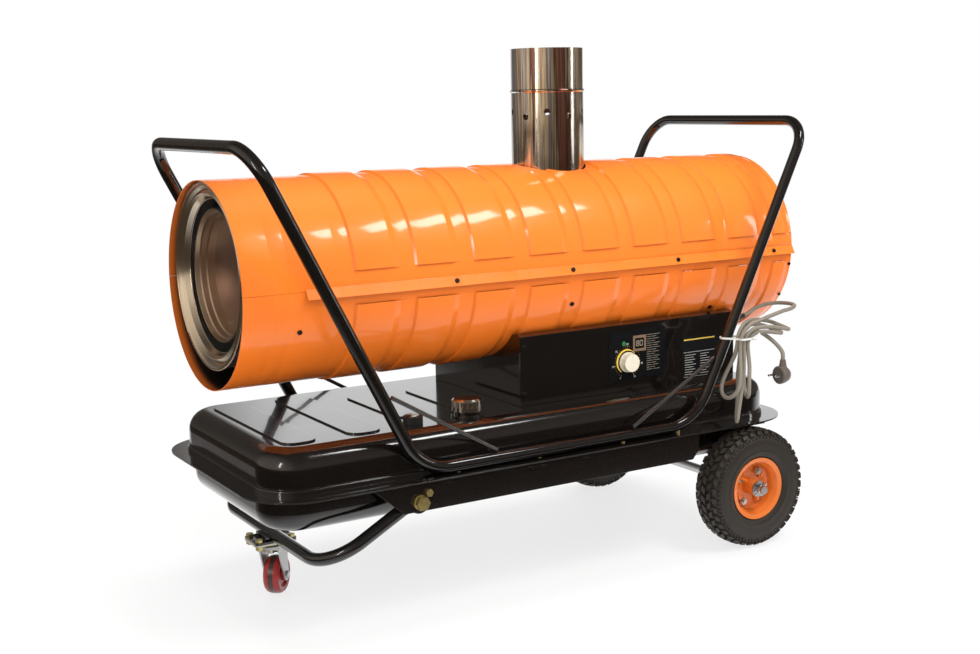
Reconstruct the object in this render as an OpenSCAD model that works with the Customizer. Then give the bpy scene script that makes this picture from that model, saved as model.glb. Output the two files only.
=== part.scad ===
// Indirect oil-fired space heater: a swaged barrel over a long pressed fuel tank, on two
// pneumatic wheels and one braked swivel castor, with a tube handle at each end.
// The warm-air outlet faces -X and the fan end +X, the control side faces -Y, +Z is up.
// The origin is on the floor under the middle of the heater's footprint.

/* [Casing] */
// outside diameter of the barrel on its plain rings
casing_d = 388; // [320:1:460]
// length of the barrel from outlet rim to fan rim
casing_len = 1270; // [1150:1:1400]
// height of the barrel's centre line over the floor
casing_z = 618; // [600:1:700]
// thickness of the casing sheet
casing_t = 1.5; // [0.8:0.1:2]
// how far a swaged band stands out of the plain rings
band_h = 4; // [1:0.5:6]
// distance from one swaged band to the next
band_pitch = 125; // [110:1:140]
// where the first band's steep front wall starts behind the outlet rim
band_start = 213; // [150:1:260]
// distance of the guard's screws from the fan rim
rim_screw_in = 4.5; // [4:0.5:10]
// length of one band, steep wall and run-out included
band_len = 95; // [60:1:100]
// length of the steep front wall of a band
band_step = 4; // [2:0.5:8]
// length of the sloping run-out behind a band
band_runout = 14; // [6:1:20]
// degrees of plain sheet left between a band's end and the seam
band_margin = 9; // [6:1:15]
// where the sloping seam lip starts behind the outlet rim
lip_start = 118; // [60:1:180]
// height of the seam lip
lip_h = 18; // [12:1:24]
// how far the seam lip stands out at its lower edge
lip_out = 10; // [6:1:14]

/* [Heat exchanger] */
// how far the exchanger's centre line lies above the barrel's
drum_rise = 17; // [0:1:25]
// outside diameter of the exchanger drum
drum_d = 248; // [200:1:270]
// length of the exchanger drum
drum_len = 832; // [700:1:850]
// outside diameter of the heat shield around the drum
shield_d = 342; // [320:1:346]
// opening of the rolled outlet ring
outlet_d = 285; // [260:1:300]
// outside diameter of the combustion chamber
chamber_d = 176; // [140:1:190]
// outside diameter of the flue pipe
flue_d = 150; // [120:1:160]
// where the flue stands behind the outlet rim
flue_x = 762; // [700:1:800]
// height of the flue's top over the floor
flue_top = 1048; // [950:1:1100]
// height of the flue's rolled bead
flue_bead_z = 962; // [900:1:1000]
// how much wider the flue's lower part is than the spigot above the bead, on the radius
flue_swage = 0.5; // [0.3:0.1:1]
// number of draught holes round the flue
flue_holes = 10; // [6:1:14]

/* [Fan and burner] */
// diameter of the fan wheel
fan_d = 344; // [300:1:356]
// number of fan blades
fan_blades = 5; // [3:1:7]
// diameter of the fan motor
motor_d = 120; // [90:1:140]
// length of the fan motor
motor_len = 115; // [90:1:130]
// diameter of the motor shaft
shaft_d = 14; // [10:1:18]
// diameter of a fan guard wire
guard_wire = 4; // [3:0.5:5]

/* [Fuel tank] */
// length of the upper tank pressing without its flange
tank_len = 1163; // [1100:1:1180]
// width of the upper tank pressing without its flange
tank_w = 488; // [440:1:488]
// width of the lower tank pressing
sump_w = 456; // [420:1:456]
// radius of the tank's corners seen from above
tank_corner = 76; // [50:1:90]
// height of the tank's top over the floor
tank_top = 346; // [330:1:360]
// height of the welded flange over the floor
flange_z = 266; // [262:1:275]
// height of the tank's bottom over the floor
tank_bottom = 188; // [170:1:200]
// how far the flange stands out in front of the tank
flange_out = 34; // [30:1:36]
// width of the tank flange
flange_w = 572; // [565:1:580]
// thickness of the tank sheet
tank_t = 1.6; // [1:0.1:2]
// diameter of the fuel cap
cap_d = 59; // [50:1:65]
// diameter of the fuel gauge
gauge_d = 38; // [30:1:44]

/* [Frame] */
// outside diameter of the front handle's tube
tube_d = 25; // [22:0.5:28]
// outside diameter of the rear handle's tube, which plugs into the front one
plug_tube_d = 22; // [19:0.5:25]
// distance between the handle legs, centre to centre
leg_span = 523; // [500:1:560]
// height of the front grip over the floor
front_grip_z = 874; // [800:1:950]
// height of the rear grip over the floor
rear_grip_z = 891; // [800:1:950]
// where the rear grip lies behind the outlet rim
rear_grip_x = 1244; // [1200:1:1256]
// how far a front leg runs back for each millimetre down
front_lean = 0.51; // [0.4:0.01:0.6]
// how far a rear leg runs forward for each millimetre down
rear_lean = 0.49; // [0.4:0.01:0.6]
// where the rear tube enters the front tube
tube_joint_x = 632; // [600:1:680]
// distance between the outer faces of the side rails
rail_span = 560; // [550:1:566]
// height of a side rail's web
rail_h = 53; // [40:1:60]

/* [Wheels and castor] */
// diameter of a pneumatic wheel
wheel_d = 254; // [240:1:256]
// width of a pneumatic tyre
tyre_w = 70; // [60:1:74]
// distance between the tyres' middles
track = 548; // [546:1:600]
// where the axle lies behind the outlet rim
axle_x = 1083; // [1060:1:1100]
// diameter of the axle
axle_d = 20; // [16:0.5:22]
// length of the turned-down ends of the axle, which take a hub cap
axle_stub = 6; // [4:0.5:6.5]
// how far the axle's ends are turned down, on the radius
axle_turned = 1.5; // [1:0.25:2]
// radial running clearance on axle, castor bolt and fan shaft
run_gap = 0.06; // [0.02:0.01:0.1]
// diameter of the castor wheel
castor_d = 75; // [65:1:80]
// width of the castor wheel
castor_w = 32; // [24:1:34]
// where the castor swivels behind the outlet rim
castor_x = 108; // [95:1:130]
// distance from the castor's swivel line to its wheel's axle
castor_trail = 24; // [18:1:30]
// direction in which the castor's wheel trails, seen from above
castor_turn = 47; // [-180:1:180]

/* [Control box] */
// front end of the control box behind the outlet rim
box_x = 576; // [560:1:586]
// length of the control box
box_len = 549; // [500:1:560]
// width of the control box
box_w = 344; // [320:1:360]
// height of the cover's fold over the floor
box_fold_z = 485; // [470:1:488]
// thickness of the box sheet
box_t = 1.5; // [1:0.1:2]
// diameter of the thermostat knob
knob_d = 42; // [34:1:46]
// where the knob sits behind the outlet rim
knob_x = 838; // [820:1:860]
// height of the knob over the floor
knob_z = 407; // [395:1:415]

/* [Cord] */
// diameter of the power cord
cord_d = 8.5; // [7:0.5:9]

/* [Hidden] */
$fn = 64;
gap = 0.3;
casing_r = casing_d / 2;
casing_ri = casing_r - casing_t;
drum_z = casing_z + drum_rise;
tank_front = 18;
flange_front = tank_front - flange_out;
flange_len = tank_len + flange_out * 2 - 1;
flange_t = tank_t;
flange_corner = tank_corner + flange_out;
mid_x = (flange_front + casing_len) / 2;
leg_y = leg_span / 2;
run_z = flange_z + tube_d / 2 + gap;
wheel_z = wheel_d / 2;
wheel_y = track / 2;
hub_half = 28;
rail_y = rail_span / 2;
rail_t = 2.5;
ledge_z = flange_z - 2 * flange_t - gap;
box_y = box_w / 2;
box_z = tank_top + gap;
// front face of the motor, which with pump and fan keeps its place from the fan rim
motor_x = casing_len - 195;
band_n = floor((casing_len - band_start) / band_pitch) + 1;
shaft_r = shaft_d / 2;
filler = [452, -175];
gauge = [337, -168];
pipe_at = [motor_x - 40, 20];
sender_z = 322;
float_drop = 25;
carrier_pivot = [289, 227];
carrier_cross = [castor_x, 130.3];
plate_z = 113.5;

function unit(v) = v / norm(v);
function side_of(v) = unit(abs(v.z) < 0.9 * norm(v) ? cross([0, 0, 1], v) : cross([1, 0, 0], v));

// puts children in a frame given by its origin and its three axes
module in_frame(o, ex, ey, ez)
  multmatrix([[ex.x, ey.x, ez.x, o.x], [ex.y, ey.y, ez.y, o.y], [ex.z, ey.z, ez.z, o.z], [0, 0, 0, 1]])
    children();

// straight round bar from p to q, hollow if ri is given
module bar(p, q, r, ri = 0) {
  ez = unit(q - p);
  ex = side_of(ez);
  in_frame(p, ex, cross(ez, ex), ez) difference() {
    cylinder(r = r, h = norm(q - p));
    if (ri > 0) translate([0, 0, -1]) cylinder(r = ri, h = norm(q - p) + 2);
  }
}

// round bar or tube bent at every inner point of pts; bends holds the centre-line radii.
// the straight stretches are a hair thinner walled and reach a little into the bends
module bent_bar(pts, bends, r, ri = 0) {
  n = len(pts);
  lap = 1;
  hair = 0.04;
  dirs = [for (i = [0:n - 2]) unit(pts[i + 1] - pts[i])];
  turn = [for (i = [1:n - 2]) acos(dirs[i - 1] * dirs[i])];
  cut = concat([lap], [for (i = [0:n - 3]) bends[i] * tan(turn[i] / 2)], [lap]);
  for (i = [0:n - 2])
    bar(pts[i] + dirs[i] * (cut[i] - lap), pts[i + 1] - dirs[i] * (cut[i + 1] - lap), r - hair,
      ri > 0 ? ri + hair : 0);
  for (i = [1:n - 2]) {
    a = dirs[i - 1];
    b = dirs[i];
    inward = unit(b - a * (a * b));
    centre = pts[i] - a * cut[i] + inward * bends[i - 1];
    in_frame(centre, -inward, a, cross(-inward, a))
      rotate_extrude(angle = turn[i - 1]) translate([bends[i - 1], 0]) difference() {
        circle(r);
        if (ri > 0) circle(ri);
      }
  }
}

// revolves a [radius, x] profile about a line along X at height z, from angle a0 over da;
// 0 is straight down, 90 is +Y, 180 is up
module turned(z, a0 = 0, da = 360)
  translate([0, 0, z]) rotate([0, 90, 0]) rotate([0, 0, a0]) rotate_extrude(angle = da) children();

// revolves a [radius, y] profile about a line along Y through x, z
module wheel_turned(x, z) translate([x, 0, z]) rotate([-90, 0, 0]) rotate_extrude() children();

// extrudes a [y, z] outline from x0 over h along X
module along_x(x0, h) translate([x0, 0, 0]) rotate([90, 0, 90]) linear_extrude(h) children();

// extrudes an [x, z] outline from y0 over h along +Y
module along_y(y0, h) translate([0, y0 + h, 0]) rotate([90, 0, 0]) linear_extrude(h) children();

module both_sides() for (s = [1, -1]) scale([1, s, 1]) children();

// flat plate with rounded corners, its middle at the origin
module slab(l, w, r, h) linear_extrude(h) {
  square([l - 2 * r, w], center = true);
  square([l, w - 2 * r], center = true);
  for (x = [-1, 1], y = [-1, 1]) translate([x * (l / 2 - r), y * (w / 2 - r)]) circle(r);
}

// deep-drawn pan standing on z = 0: corner radius c in plan, edge radius e on top
module pan(l, w, c, h, e) {
  slab(l, w, c, h - e);
  slab(l - 2 * e, w - 2 * e, c - e, h);
  for (x = [-1, 1], y = [-1, 1]) translate([x * (l / 2 - c), y * (w / 2 - c), 0])
    rotate_extrude() {
      square([c - e, h]);
      square([c, h - e]);
      translate([c - e, h - e]) intersection() { circle(e); square(e); }
    }
  for (y = [-1, 1]) translate([-(l / 2 - c), y * (w / 2 - e), h - e])
    rotate([0, 90, 0]) cylinder(r = e, h = l - 2 * c);
  for (x = [-1, 1]) translate([x * (l / 2 - e), -(w / 2 - c), h - e])
    rotate([-90, 0, 0]) cylinder(r = e, h = w - 2 * c);
}

// hexagon head, nut or bolt end along +Z
module hex(af, h) cylinder(d = af / cos(30), h = h, $fn = 6);

// tube from z = 0 up
module pipe(ro, ri, h) difference() { cylinder(r = ro, h = h); translate([0, 0, -1]) cylinder(r = ri, h = h + 2); }

// every body below is drawn from the outlet rim at x = 0 and moved here onto the origin
module placed() translate([-mid_x, 0, 0]) children();

// casing

function band_x(k) = [band_start + band_pitch * k, min(band_start + band_pitch * k + band_len, casing_len - 8)];
banded_wall = concat([[casing_r, 0]],
  [for (k = [0:band_n - 1], q = [[0, 0, 0], [band_h, 0, band_step], [band_h, 1, -band_runout], [0, 1, 0]])
    [casing_r + q.x, band_x(k)[q.y] + q.z]],
  [[casing_r, casing_len], [casing_ri, casing_len]],
  [for (k = [band_n - 1:-1:0], q = [[0, 1, -1], [band_h, 1, -band_runout - 1.5], [band_h, 0, band_step + 1.5], [0, 0, 1]])
    [casing_ri + q.x, band_x(k)[q.y] + q.z]],
  [[casing_ri, 0]]);
// half of the barrel: swaged bands, with a plain strip along each edge
module casing_shell(a0, da) {
  for (a = [a0, a0 + da - band_margin - 0.1]) turned(casing_z, a, band_margin + 0.1)
    translate([casing_ri + 0.02, 0]) square([casing_t - 0.04, casing_len]);
  turned(casing_z, a0 + band_margin, da - 2 * band_margin) polygon(banded_wall);
}
lip_screws = [for (k = [0:4]) 158.5 + 263.5 * k];
function lip_in(z) = casing_r - 1.2 + lip_out * (4 - z) / lip_h;
module on_lip(x) both_sides() translate([x, lip_in(-5) + 1.6, casing_z - 5])
  rotate([-atan2(lip_h, lip_out), 0, 0]) children();
shell_screws = [[109, 68], [696, 67], [1073, 52], [109, -68], [696, -67], [1073, -52]];
rim_angles = [11.25, 33.75, 90, 146.25, 168.75];

module upper_casing() color([0.95, 0.5, 0.18]) placed() difference() {
  union() {
    casing_shell(90, 180);
    both_sides() along_x(lip_start, casing_len - lip_start) translate([0, casing_z])
      polygon([[casing_r - 1.2, 4], [casing_r + 0.4, 4], [casing_r + 0.4 + lip_out, 4 - lip_h],
        [casing_r - 1.2 + lip_out, 4 - lip_h]]);
  }
  for (x = lip_screws) on_lip(x) translate([0, 0, -6]) cylinder(r = 2.8, h = 12);
  translate([flue_x, 0, casing_z]) cylinder(r = flue_d / 2 + 4, h = casing_d);
}

module lower_casing() color([0.95, 0.5, 0.18]) placed() difference() {
  union() {
    casing_shell(-89.9, 179.8);
    both_sides() along_x(lip_start, casing_len - lip_start) translate([0, casing_z])
      polygon([[casing_r - 1.4, -0.5], [lip_in(-0.6) - 0.35, -0.6], [lip_in(-14.4) - 0.35, -14.4],
        [lip_in(-14.4) - 1.9, -14.4], [casing_r - 1.4, -2.6]]);
  }
  for (x = lip_screws) on_lip(x) translate([0, 0, -6]) cylinder(r = 2.3, h = 12);
  for (s = shell_screws) translate([s.x, 0, casing_z]) rotate([s.y - 180, 0, 0])
    translate([0, 0, casing_r - 5]) cylinder(r = 2.3, h = 12);
  for (a = rim_angles) translate([casing_len - rim_screw_in, 0, casing_z]) rotate([a + 90, 0, 0])
    translate([0, 0, casing_r - 5]) cylinder(r = 2.3, h = 12);
  translate([pipe_at.x, pipe_at.y, casing_z - casing_r - 10]) cylinder(r = 28, h = 40);
}

module casing_screws() color([0.12, 0.1, 0.09]) placed() {
  for (x = lip_screws) on_lip(x) {
    translate([0, 0, gap]) cylinder(r = 4.5, h = 2.2);
    translate([0, 0, -4]) cylinder(r = 2, h = 5);
  }
  for (s = shell_screws) translate([s.x, 0, casing_z]) rotate([s.y - 180, 0, 0]) {
    translate([0, 0, casing_r + gap]) cylinder(r = 4.5, h = 2.2);
    translate([0, 0, casing_r - 3]) cylinder(r = 2, h = 4);
  }
  for (a = rim_angles) translate([casing_len - rim_screw_in, 0, casing_z]) rotate([a + 90, 0, 0]) {
    translate([0, 0, casing_r + gap]) cylinder(r = 3.4, h = 2.2);
    translate([0, 0, casing_ri]) cylinder(r = 2, h = casing_t + 1);
  }
}

// heat exchanger and flue

module outlet_ring() color([0.7, 0.66, 0.58]) placed() {
  inner = outlet_d / 2;
  outer = shield_d / 2 + 2;
  face = [[outer, 9], [outer - 6, 8], [outer - 9, 10], [outer - 14, 15], [outer - 20, 11.5],
    [outer - 25, 16], [inner, 26]];
  turned(drum_z) polygon(concat(face, [for (i = [len(face) - 1:-1:0]) face[i] + [0.2, 1.5]]));
  turned(drum_z) translate([outer - 0.6, 9.8]) circle(2.2);
  turned(drum_z) translate([inner + 0.6, 26.6]) circle(1.7);
}

module heat_shield() color([0.62, 0.6, 0.56]) placed() difference() {
  union() {
    turned(drum_z) translate([shield_d / 2 - 1, 12.5]) square([1, 870]);
    for (x = [150, 700]) intersection() {
      translate([x, -70, casing_z - casing_r]) cube([3, 140, 60]);
      difference() {
        turned(casing_z) square([casing_ri - gap, casing_len]);
        turned(drum_z) square([shield_d / 2 - 0.5, casing_len]);
      }
    }
  }
  translate([flue_x, 0, drum_z]) cylinder(r = flue_d / 2 + 5, h = 300);
}

module exchanger_drum() color([0.6, 0.58, 0.54]) placed() difference() {
  union() {
    turned(drum_z) {
      translate([drum_d / 2 - 1.5, 30.5]) square([1.5, drum_len - 2.5]);
      translate([62, 28 + drum_len]) square([drum_d / 2 - 62, 2]);
    }
    translate([flue_x, 0, drum_z]) intersection() {
      pipe(flue_d / 2 + flue_swage + 1.7, flue_d / 2 + flue_swage + gap, 145);
      translate([0, 0, 105]) cylinder(r = 200, h = 100);
    }
    for (x = [80, 820], a = [0, 120, 240]) translate([x, 0, drum_z]) rotate([a + 180, 0, 0])
      translate([0, 0, drum_d / 2 - 1]) cylinder(r = 4, h = (shield_d - drum_d) / 2 - gap);
  }
  translate([flue_x, 0, drum_z + 60]) cylinder(r = flue_d / 2 - 4, h = 90);
  turned(drum_z) translate([0, 32]) square([drum_d / 2 - 1.5, drum_len - 4]);
}

module exchanger_front() color([0.45, 0.34, 0.29]) placed() turned(drum_z) {
  r = drum_d / 2;
  face = [[r, 28], [r - 3, 28], [r - 5, 36], [r - 8, 38], [r - 9, 48], [r - 12, 50], [r - 13, 64], [0, 64]];
  polygon(concat(face, [[0, 66], [r - 11.5, 66], [r - 10.5, 52], [r - 7.5, 50], [r - 6.5, 40], [r - 3.5, 38],
    [r - 1.5, 30.2], [r, 30.2]]));
}

module combustion_chamber() color([0.5, 0.47, 0.44]) placed() turned(drum_z) {
  r = chamber_d / 2;
  translate([r - 2, 150]) square([2, drum_len + 28 - 150 - gap]);
  translate([0, 150]) square([r - 1, 2]);
}

// the flue stands on the drum inside its collar
flue_z = drum_z + drum_d / 2 + gap;
module flue_pipe() color([0.75, 0.74, 0.72]) placed() translate([flue_x, 0, 0]) difference() {
  union() {
    translate([0, 0, flue_z]) cylinder(r = flue_d / 2 + flue_swage, h = flue_bead_z - flue_z);
    translate([0, 0, flue_bead_z - 1]) cylinder(r = flue_d / 2, h = flue_top - flue_bead_z + 1);
    translate([0, 0, flue_bead_z]) rotate_extrude() translate([flue_d / 2 - 1, 0]) circle(3.5);
  }
  translate([0, 0, drum_z + 110]) cylinder(r = flue_d / 2 - 1.2, h = flue_top);
  for (k = [0:flue_holes - 1]) rotate([0, 0, 360 / flue_holes * k + 20])
    translate([flue_d / 2 - 12, 0, k % 2 == 0 ? 920 : 910]) rotate([0, 90, 0]) cylinder(r = 6.5, h = 24);
}

// burner, pump and fan

module burner_head() color([0.32, 0.33, 0.35]) placed() turned(drum_z) {
  x0 = drum_len + 30 + gap;
  translate([50, x0]) square([46, 3]);
  translate([60, x0]) square([2, 78]);
  translate([9 + gap, x0 + 76]) square([52, 3]);
}

module fuel_nozzle() color([0.78, 0.62, 0.28]) placed() turned(drum_z) {
  x0 = drum_len + 50;
  polygon([[0, x0 - 8], [3, x0 - 8], [7, x0], [7, x0 + 14], [9, x0 + 14], [9, x0 + 78], [0, x0 + 78]]);
}

module fuel_pump() color([0.55, 0.56, 0.58]) placed() difference() {
  union() {
    translate([motor_x - 60, -30, casing_z - 30]) cube([44, 60, 60]);
    turned(casing_z) translate([0, motor_x - 16]) square([27, 15.4]);
    turned(casing_z) translate([0, motor_x - 64]) square([18, 5]);
  }
  turned(casing_z) translate([0, motor_x - 29]) square([shaft_r + run_gap, 40]);
  translate([pipe_at.x, pipe_at.y, casing_z - 31]) cylinder(r = 3.3, h = 12);
  translate([motor_x - 65, 0, drum_z]) rotate([0, 90, 0]) cylinder(r = 3.3, h = 12);
}

module fuel_pipes() color([0.72, 0.42, 0.25]) placed() {
  translate([pipe_at.x, pipe_at.y, tank_bottom + 14]) cylinder(r = 3, h = casing_z - 44 - tank_bottom);
  translate([pipe_at.x, pipe_at.y, casing_z - 38.3]) hex(14, 8);
  bar([drum_len + 128 + gap, 0, drum_z], [motor_x - 55, 0, drum_z], 3);
  translate([drum_len + 128 + gap, 0, drum_z]) rotate([0, 90, 0]) hex(14, 10);
  translate([pipe_at.x, pipe_at.y, tank_top + gap]) hex(17, 9);
}

module fan_motor() color([0.2, 0.21, 0.23]) placed() turned(casing_z) {
  polygon([[shaft_r + run_gap, motor_x], [motor_d / 2 - 6, motor_x], [motor_d / 2, motor_x + 6],
    [motor_d / 2, motor_x + motor_len - 6], [motor_d / 2 - 6, motor_x + motor_len],
    [shaft_r + run_gap, motor_x + motor_len]]);
}

module motor_bracket() color([0.3, 0.3, 0.32]) placed() {
  x0 = motor_x + motor_len + gap;
  turned(casing_z) translate([shaft_r + 8, x0]) square([motor_d / 2 - shaft_r - 8, 3]);
  for (a = [0, 120, 240]) translate([0, 0, casing_z]) rotate([a, 0, 0])
    intersection() {
      translate([x0, -14, motor_d / 2 - 10]) cube([3, 28, casing_ri]);
      rotate([0, 90, 0]) cylinder(r = casing_ri - gap, h = casing_len);
    }
}

module motor_shaft() color([0.7, 0.7, 0.72]) placed()
  turned(casing_z) translate([0, motor_x - 27]) square([shaft_r, 198]);

module fan() color([0.16, 0.16, 0.17]) placed() difference() {
  union() {
    turned(casing_z) {
      translate([0, motor_x + 131]) square([17, 36]);
      translate([0, motor_x + 137]) square([46, 3]);
      translate([42, motor_x + 137]) square([4, 24]);
    }
    for (k = [0:fan_blades - 1]) translate([motor_x + 149, 0, casing_z]) rotate([k * 360 / fan_blades, 0, 0])
      intersection() {
        rotate([0, 0, 24]) translate([-1.2, -44, 20]) cube([2.4, 88, fan_d / 2]);
        rotate([0, 90, 0]) translate([0, 0, -30]) difference() {
          cylinder(r = fan_d / 2, h = 60);
          translate([0, 0, -1]) cylinder(r = 44, h = 62);
        }
      }
  }
  turned(casing_z) translate([0, motor_x + 125]) square([shaft_r + 0.02, 60]);
}

module fan_guard() color([0.14, 0.14, 0.15]) placed() {
  w = guard_wire / 2;
  turned(casing_z) translate([casing_ri - gap - 1.5, casing_len - 14]) square([1.5, 13]);
  turned(casing_z) translate([0, casing_len - 10]) square([26, 3]);
  for (r = [46:18:casing_ri - 14]) turned(casing_z) translate([r, casing_len - 8]) circle(w);
  for (a = [0:45:315]) translate([casing_len - 8 - guard_wire + 0.6, 0, casing_z]) rotate([a + 22.5, 0, 0])
    translate([0, 0, 24]) cylinder(r = w, h = casing_ri - 25.2 - gap);
}

// control box

// end plate outline in [y, z], with a saddle of radius r for the barrel
module end_outline(r) difference() {
  polygon([[-box_y + box_t + gap, box_z], [box_y - 1, box_z], [box_y - 1, box_fold_z - 0.5],
    [box_y - 20, box_fold_z + 3], [-box_y + 20, box_fold_z + 3], [-box_y + box_t + gap, box_fold_z - 0.5]]);
  translate([0, casing_z]) circle(r);
}
module control_box() color([0.1, 0.1, 0.11]) placed() difference() {
  union() {
    along_x(box_x, box_t) end_outline(casing_r + gap);
    along_x(box_x + box_len - box_t, box_t) end_outline(casing_r + band_h + gap);
    translate([box_x, -box_y + box_t + gap, box_z]) cube([box_len, box_w - box_t - gap, box_t]);
    along_x(box_x, box_len) polygon([[box_y, box_z], [box_y - box_t, box_z], [box_y - box_t, box_fold_z - 0.7],
      [box_y - 19.4, box_fold_z + 3.2], [box_y - 19, box_fold_z + 4.8], [box_y, box_fold_z + 0.6]]);
    for (x = [box_x, box_x + box_len - 15]) translate([x, -box_y + box_t + gap, box_z])
      cube([15, box_t, box_fold_z - box_z - 2]);
    for (x = [700, 890], y = [-1, 1]) translate([x, y * 40 - 15, box_z]) cube([24, 30, 6]);
  }
  translate([pipe_at.x, pipe_at.y, box_z - 1]) cylinder(r = 14, h = 20);
  translate([box_x + box_len - 5, -box_y + 17, 468]) rotate([0, 90, 0]) cylinder(r = 8.3, h = 10);
  for (x = [box_x + 8, box_x + box_len - 8], z = [370, 464]) translate([x, -box_y - 1, z])
    rotate([-90, 0, 0]) cylinder(r = 2.3, h = 10);
}

display_at = [868.5, 443.5];
lamp_at = [829, 446];
module control_cover() color([0.09, 0.09, 0.1]) placed() {
  difference() {
    along_x(box_x, box_len) polygon([[-box_y, box_z], [-box_y + box_t, box_z],
      [-box_y + box_t, box_fold_z - 0.7], [-box_y + 19.4, box_fold_z + 3.2],
      [-box_y + 19, box_fold_z + 4.8], [-box_y, box_fold_z + 0.6]]);
    panel_holes();
    for (x = [box_x + 8, box_x + box_len - 8], z = [370, 464]) translate([x, -box_y - 1, z])
      rotate([-90, 0, 0]) cylinder(r = 2.3, h = 10);
  }
  for (x = [box_x + 8, box_x + box_len - 8], z = [370, 464]) translate([x, -box_y - 2.2, z])
    rotate([-90, 0, 0]) { cylinder(r = 4.5, h = 2.2); cylinder(r = 2.3, h = 3.7); }
}
module panel_holes() {
  translate([knob_x, -box_y - 5, knob_z]) rotate([-90, 0, 0]) cylinder(r = 5.3, h = 12);
  translate([lamp_at.x, -box_y - 5, lamp_at.y]) rotate([-90, 0, 0]) cylinder(r = 4.3, h = 12);
  translate([display_at.x - 14.3, -box_y - 5, display_at.y - 14.3]) cube([28.6, 12, 28.6]);
}
module panel_plate() color([0.13, 0.13, 0.14]) placed() difference() {
  translate([864, -box_y - gap - 0.8, 421]) rotate([-90, 0, 0]) slab(144, 104, 4, 0.8);
  panel_holes();
}
module rating_plate() color([0.2, 0.2, 0.21]) placed()
  translate([1031, -box_y - gap - 0.5, 398]) rotate([-90, 0, 0]) slab(98, 92, 3, 0.5);

module thermostat_body() color([0.75, 0.74, 0.7]) placed() difference() {
  union() {
    translate([knob_x - 20, -box_y + box_t + gap, knob_z - 20]) cube([40, 24, 40]);
    translate([knob_x, -box_y - 1, knob_z]) rotate([-90, 0, 0]) cylinder(r = 5, h = 6);
  }
  translate([knob_x, -box_y - 2, knob_z]) rotate([-90, 0, 0]) cylinder(r = 3 + run_gap, h = 17);
}
module thermostat_knob() color([0.93, 0.9, 0.84]) placed() difference() {
  union() {
    translate([knob_x, -box_y - 1.5, knob_z]) rotate([90, 0, 0]) {
      cylinder(d = knob_d, h = 4);
      cylinder(d1 = knob_d - 2, d2 = knob_d - 5, h = 17);
    }
    translate([knob_x, -box_y - 3, knob_z]) rotate([-90, 0, 0]) cylinder(r = 3, h = 16);
  }
  for (k = [0:17]) translate([knob_x, 0, knob_z]) rotate([0, k * 20 + 10, 0])
    translate([0, -box_y - 21, knob_d / 2 - 1.2]) rotate([-90, 0, 0]) cylinder(r = 2, h = 14);
  translate([knob_x - 1, -box_y - 20, knob_z + 6]) cube([2, 2.3, 20]);
}
module display_module() color([0.55, 0.56, 0.54]) placed()
  translate([display_at.x, -box_y, display_at.y]) difference() {
    union() {
      translate([0, -2.6, 0]) rotate([-90, 0, 0]) slab(33, 33, 2, 1.4);
      translate([-14, -1.5, -14]) cube([28, 16, 28]);
    }
    translate([-12, -4, -11]) cube([24, 2.4, 22]);
  }
module power_lamp() color([0.2, 0.75, 0.35]) placed() translate([lamp_at.x, -box_y, lamp_at.y])
  rotate([-90, 0, 0]) {
    translate([0, 0, -2.4]) cylinder(r1 = 3, r2 = 5, h = 1.2);
    translate([0, 0, -1.3]) cylinder(r = 4, h = 12);
  }
module ignition_transformer() color([0.16, 0.17, 0.2]) placed() difference() {
  union() {
    translate([930, -60, box_z + box_t + gap]) cube([96, 62, 58]);
    for (y = [-48, -12]) translate([931, y, box_z + 40]) rotate([0, -90, 0]) cylinder(r = 6, h = 21);
  }
  translate([pipe_at.x, pipe_at.y, box_z]) cylinder(r = 16, h = 90);
}

// cord

module cord_gland() color([0.1, 0.1, 0.1]) placed()
  translate([box_x + box_len, -box_y + 17, 468]) rotate([0, 90, 0]) {
    translate([0, 0, -4]) cylinder(r = 8, h = 14);
    translate([0, 0, gap]) hex(21, 7);
    translate([0, 0, 10]) cylinder(r1 = 8, r2 = 6.4, h = 8);
    translate([0, 0, -9]) hex(21, 7.2);
  }

// route of the lead from the gland to the hank, straight at both ends and about its joint with the hank
lead_in = [[1143, -155, 468], [1152, -155, 468], [1161, -155, 468], [1178, -157, 474], [1196, -163, 485],
  [1214, -175, 493], [1230, -195, 497], [1238, -221, 498], [1230, -247, 498], [1208, -266, 497], [1186, -276, 496.5],
  [1168, -281, 496], [1159, -283, 495], [1150, -285, 494], [1141, -287, 493], [1132, -289, 492],
  [1110, -293, 489], [1086, -294.9, 484]];
// route from the hank down to the plug
lead_out = [[1092, -287, 460], [1106, -297, 450], [1116, -313, 436], [1121, -326, 422], [1121, -330, 412],
  [1121, -330, 403]];
// middle of the strands just under the tie; above it they bend over towards the fan
hank_at = [1046, -290, 437];
strand = 9.8;
waist_r = 26;
tip_r = 26;
// hanging loops: reach, shift of the tip in x and y, turn of the loop's plane
hanging = [[108, [-36, 6], 0], [160, [-12, 2], 38], [110, [10, -4], 30]];
// standing loops: reach, droop of the tip
standing = [[82, 16], [62, 12]];

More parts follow.
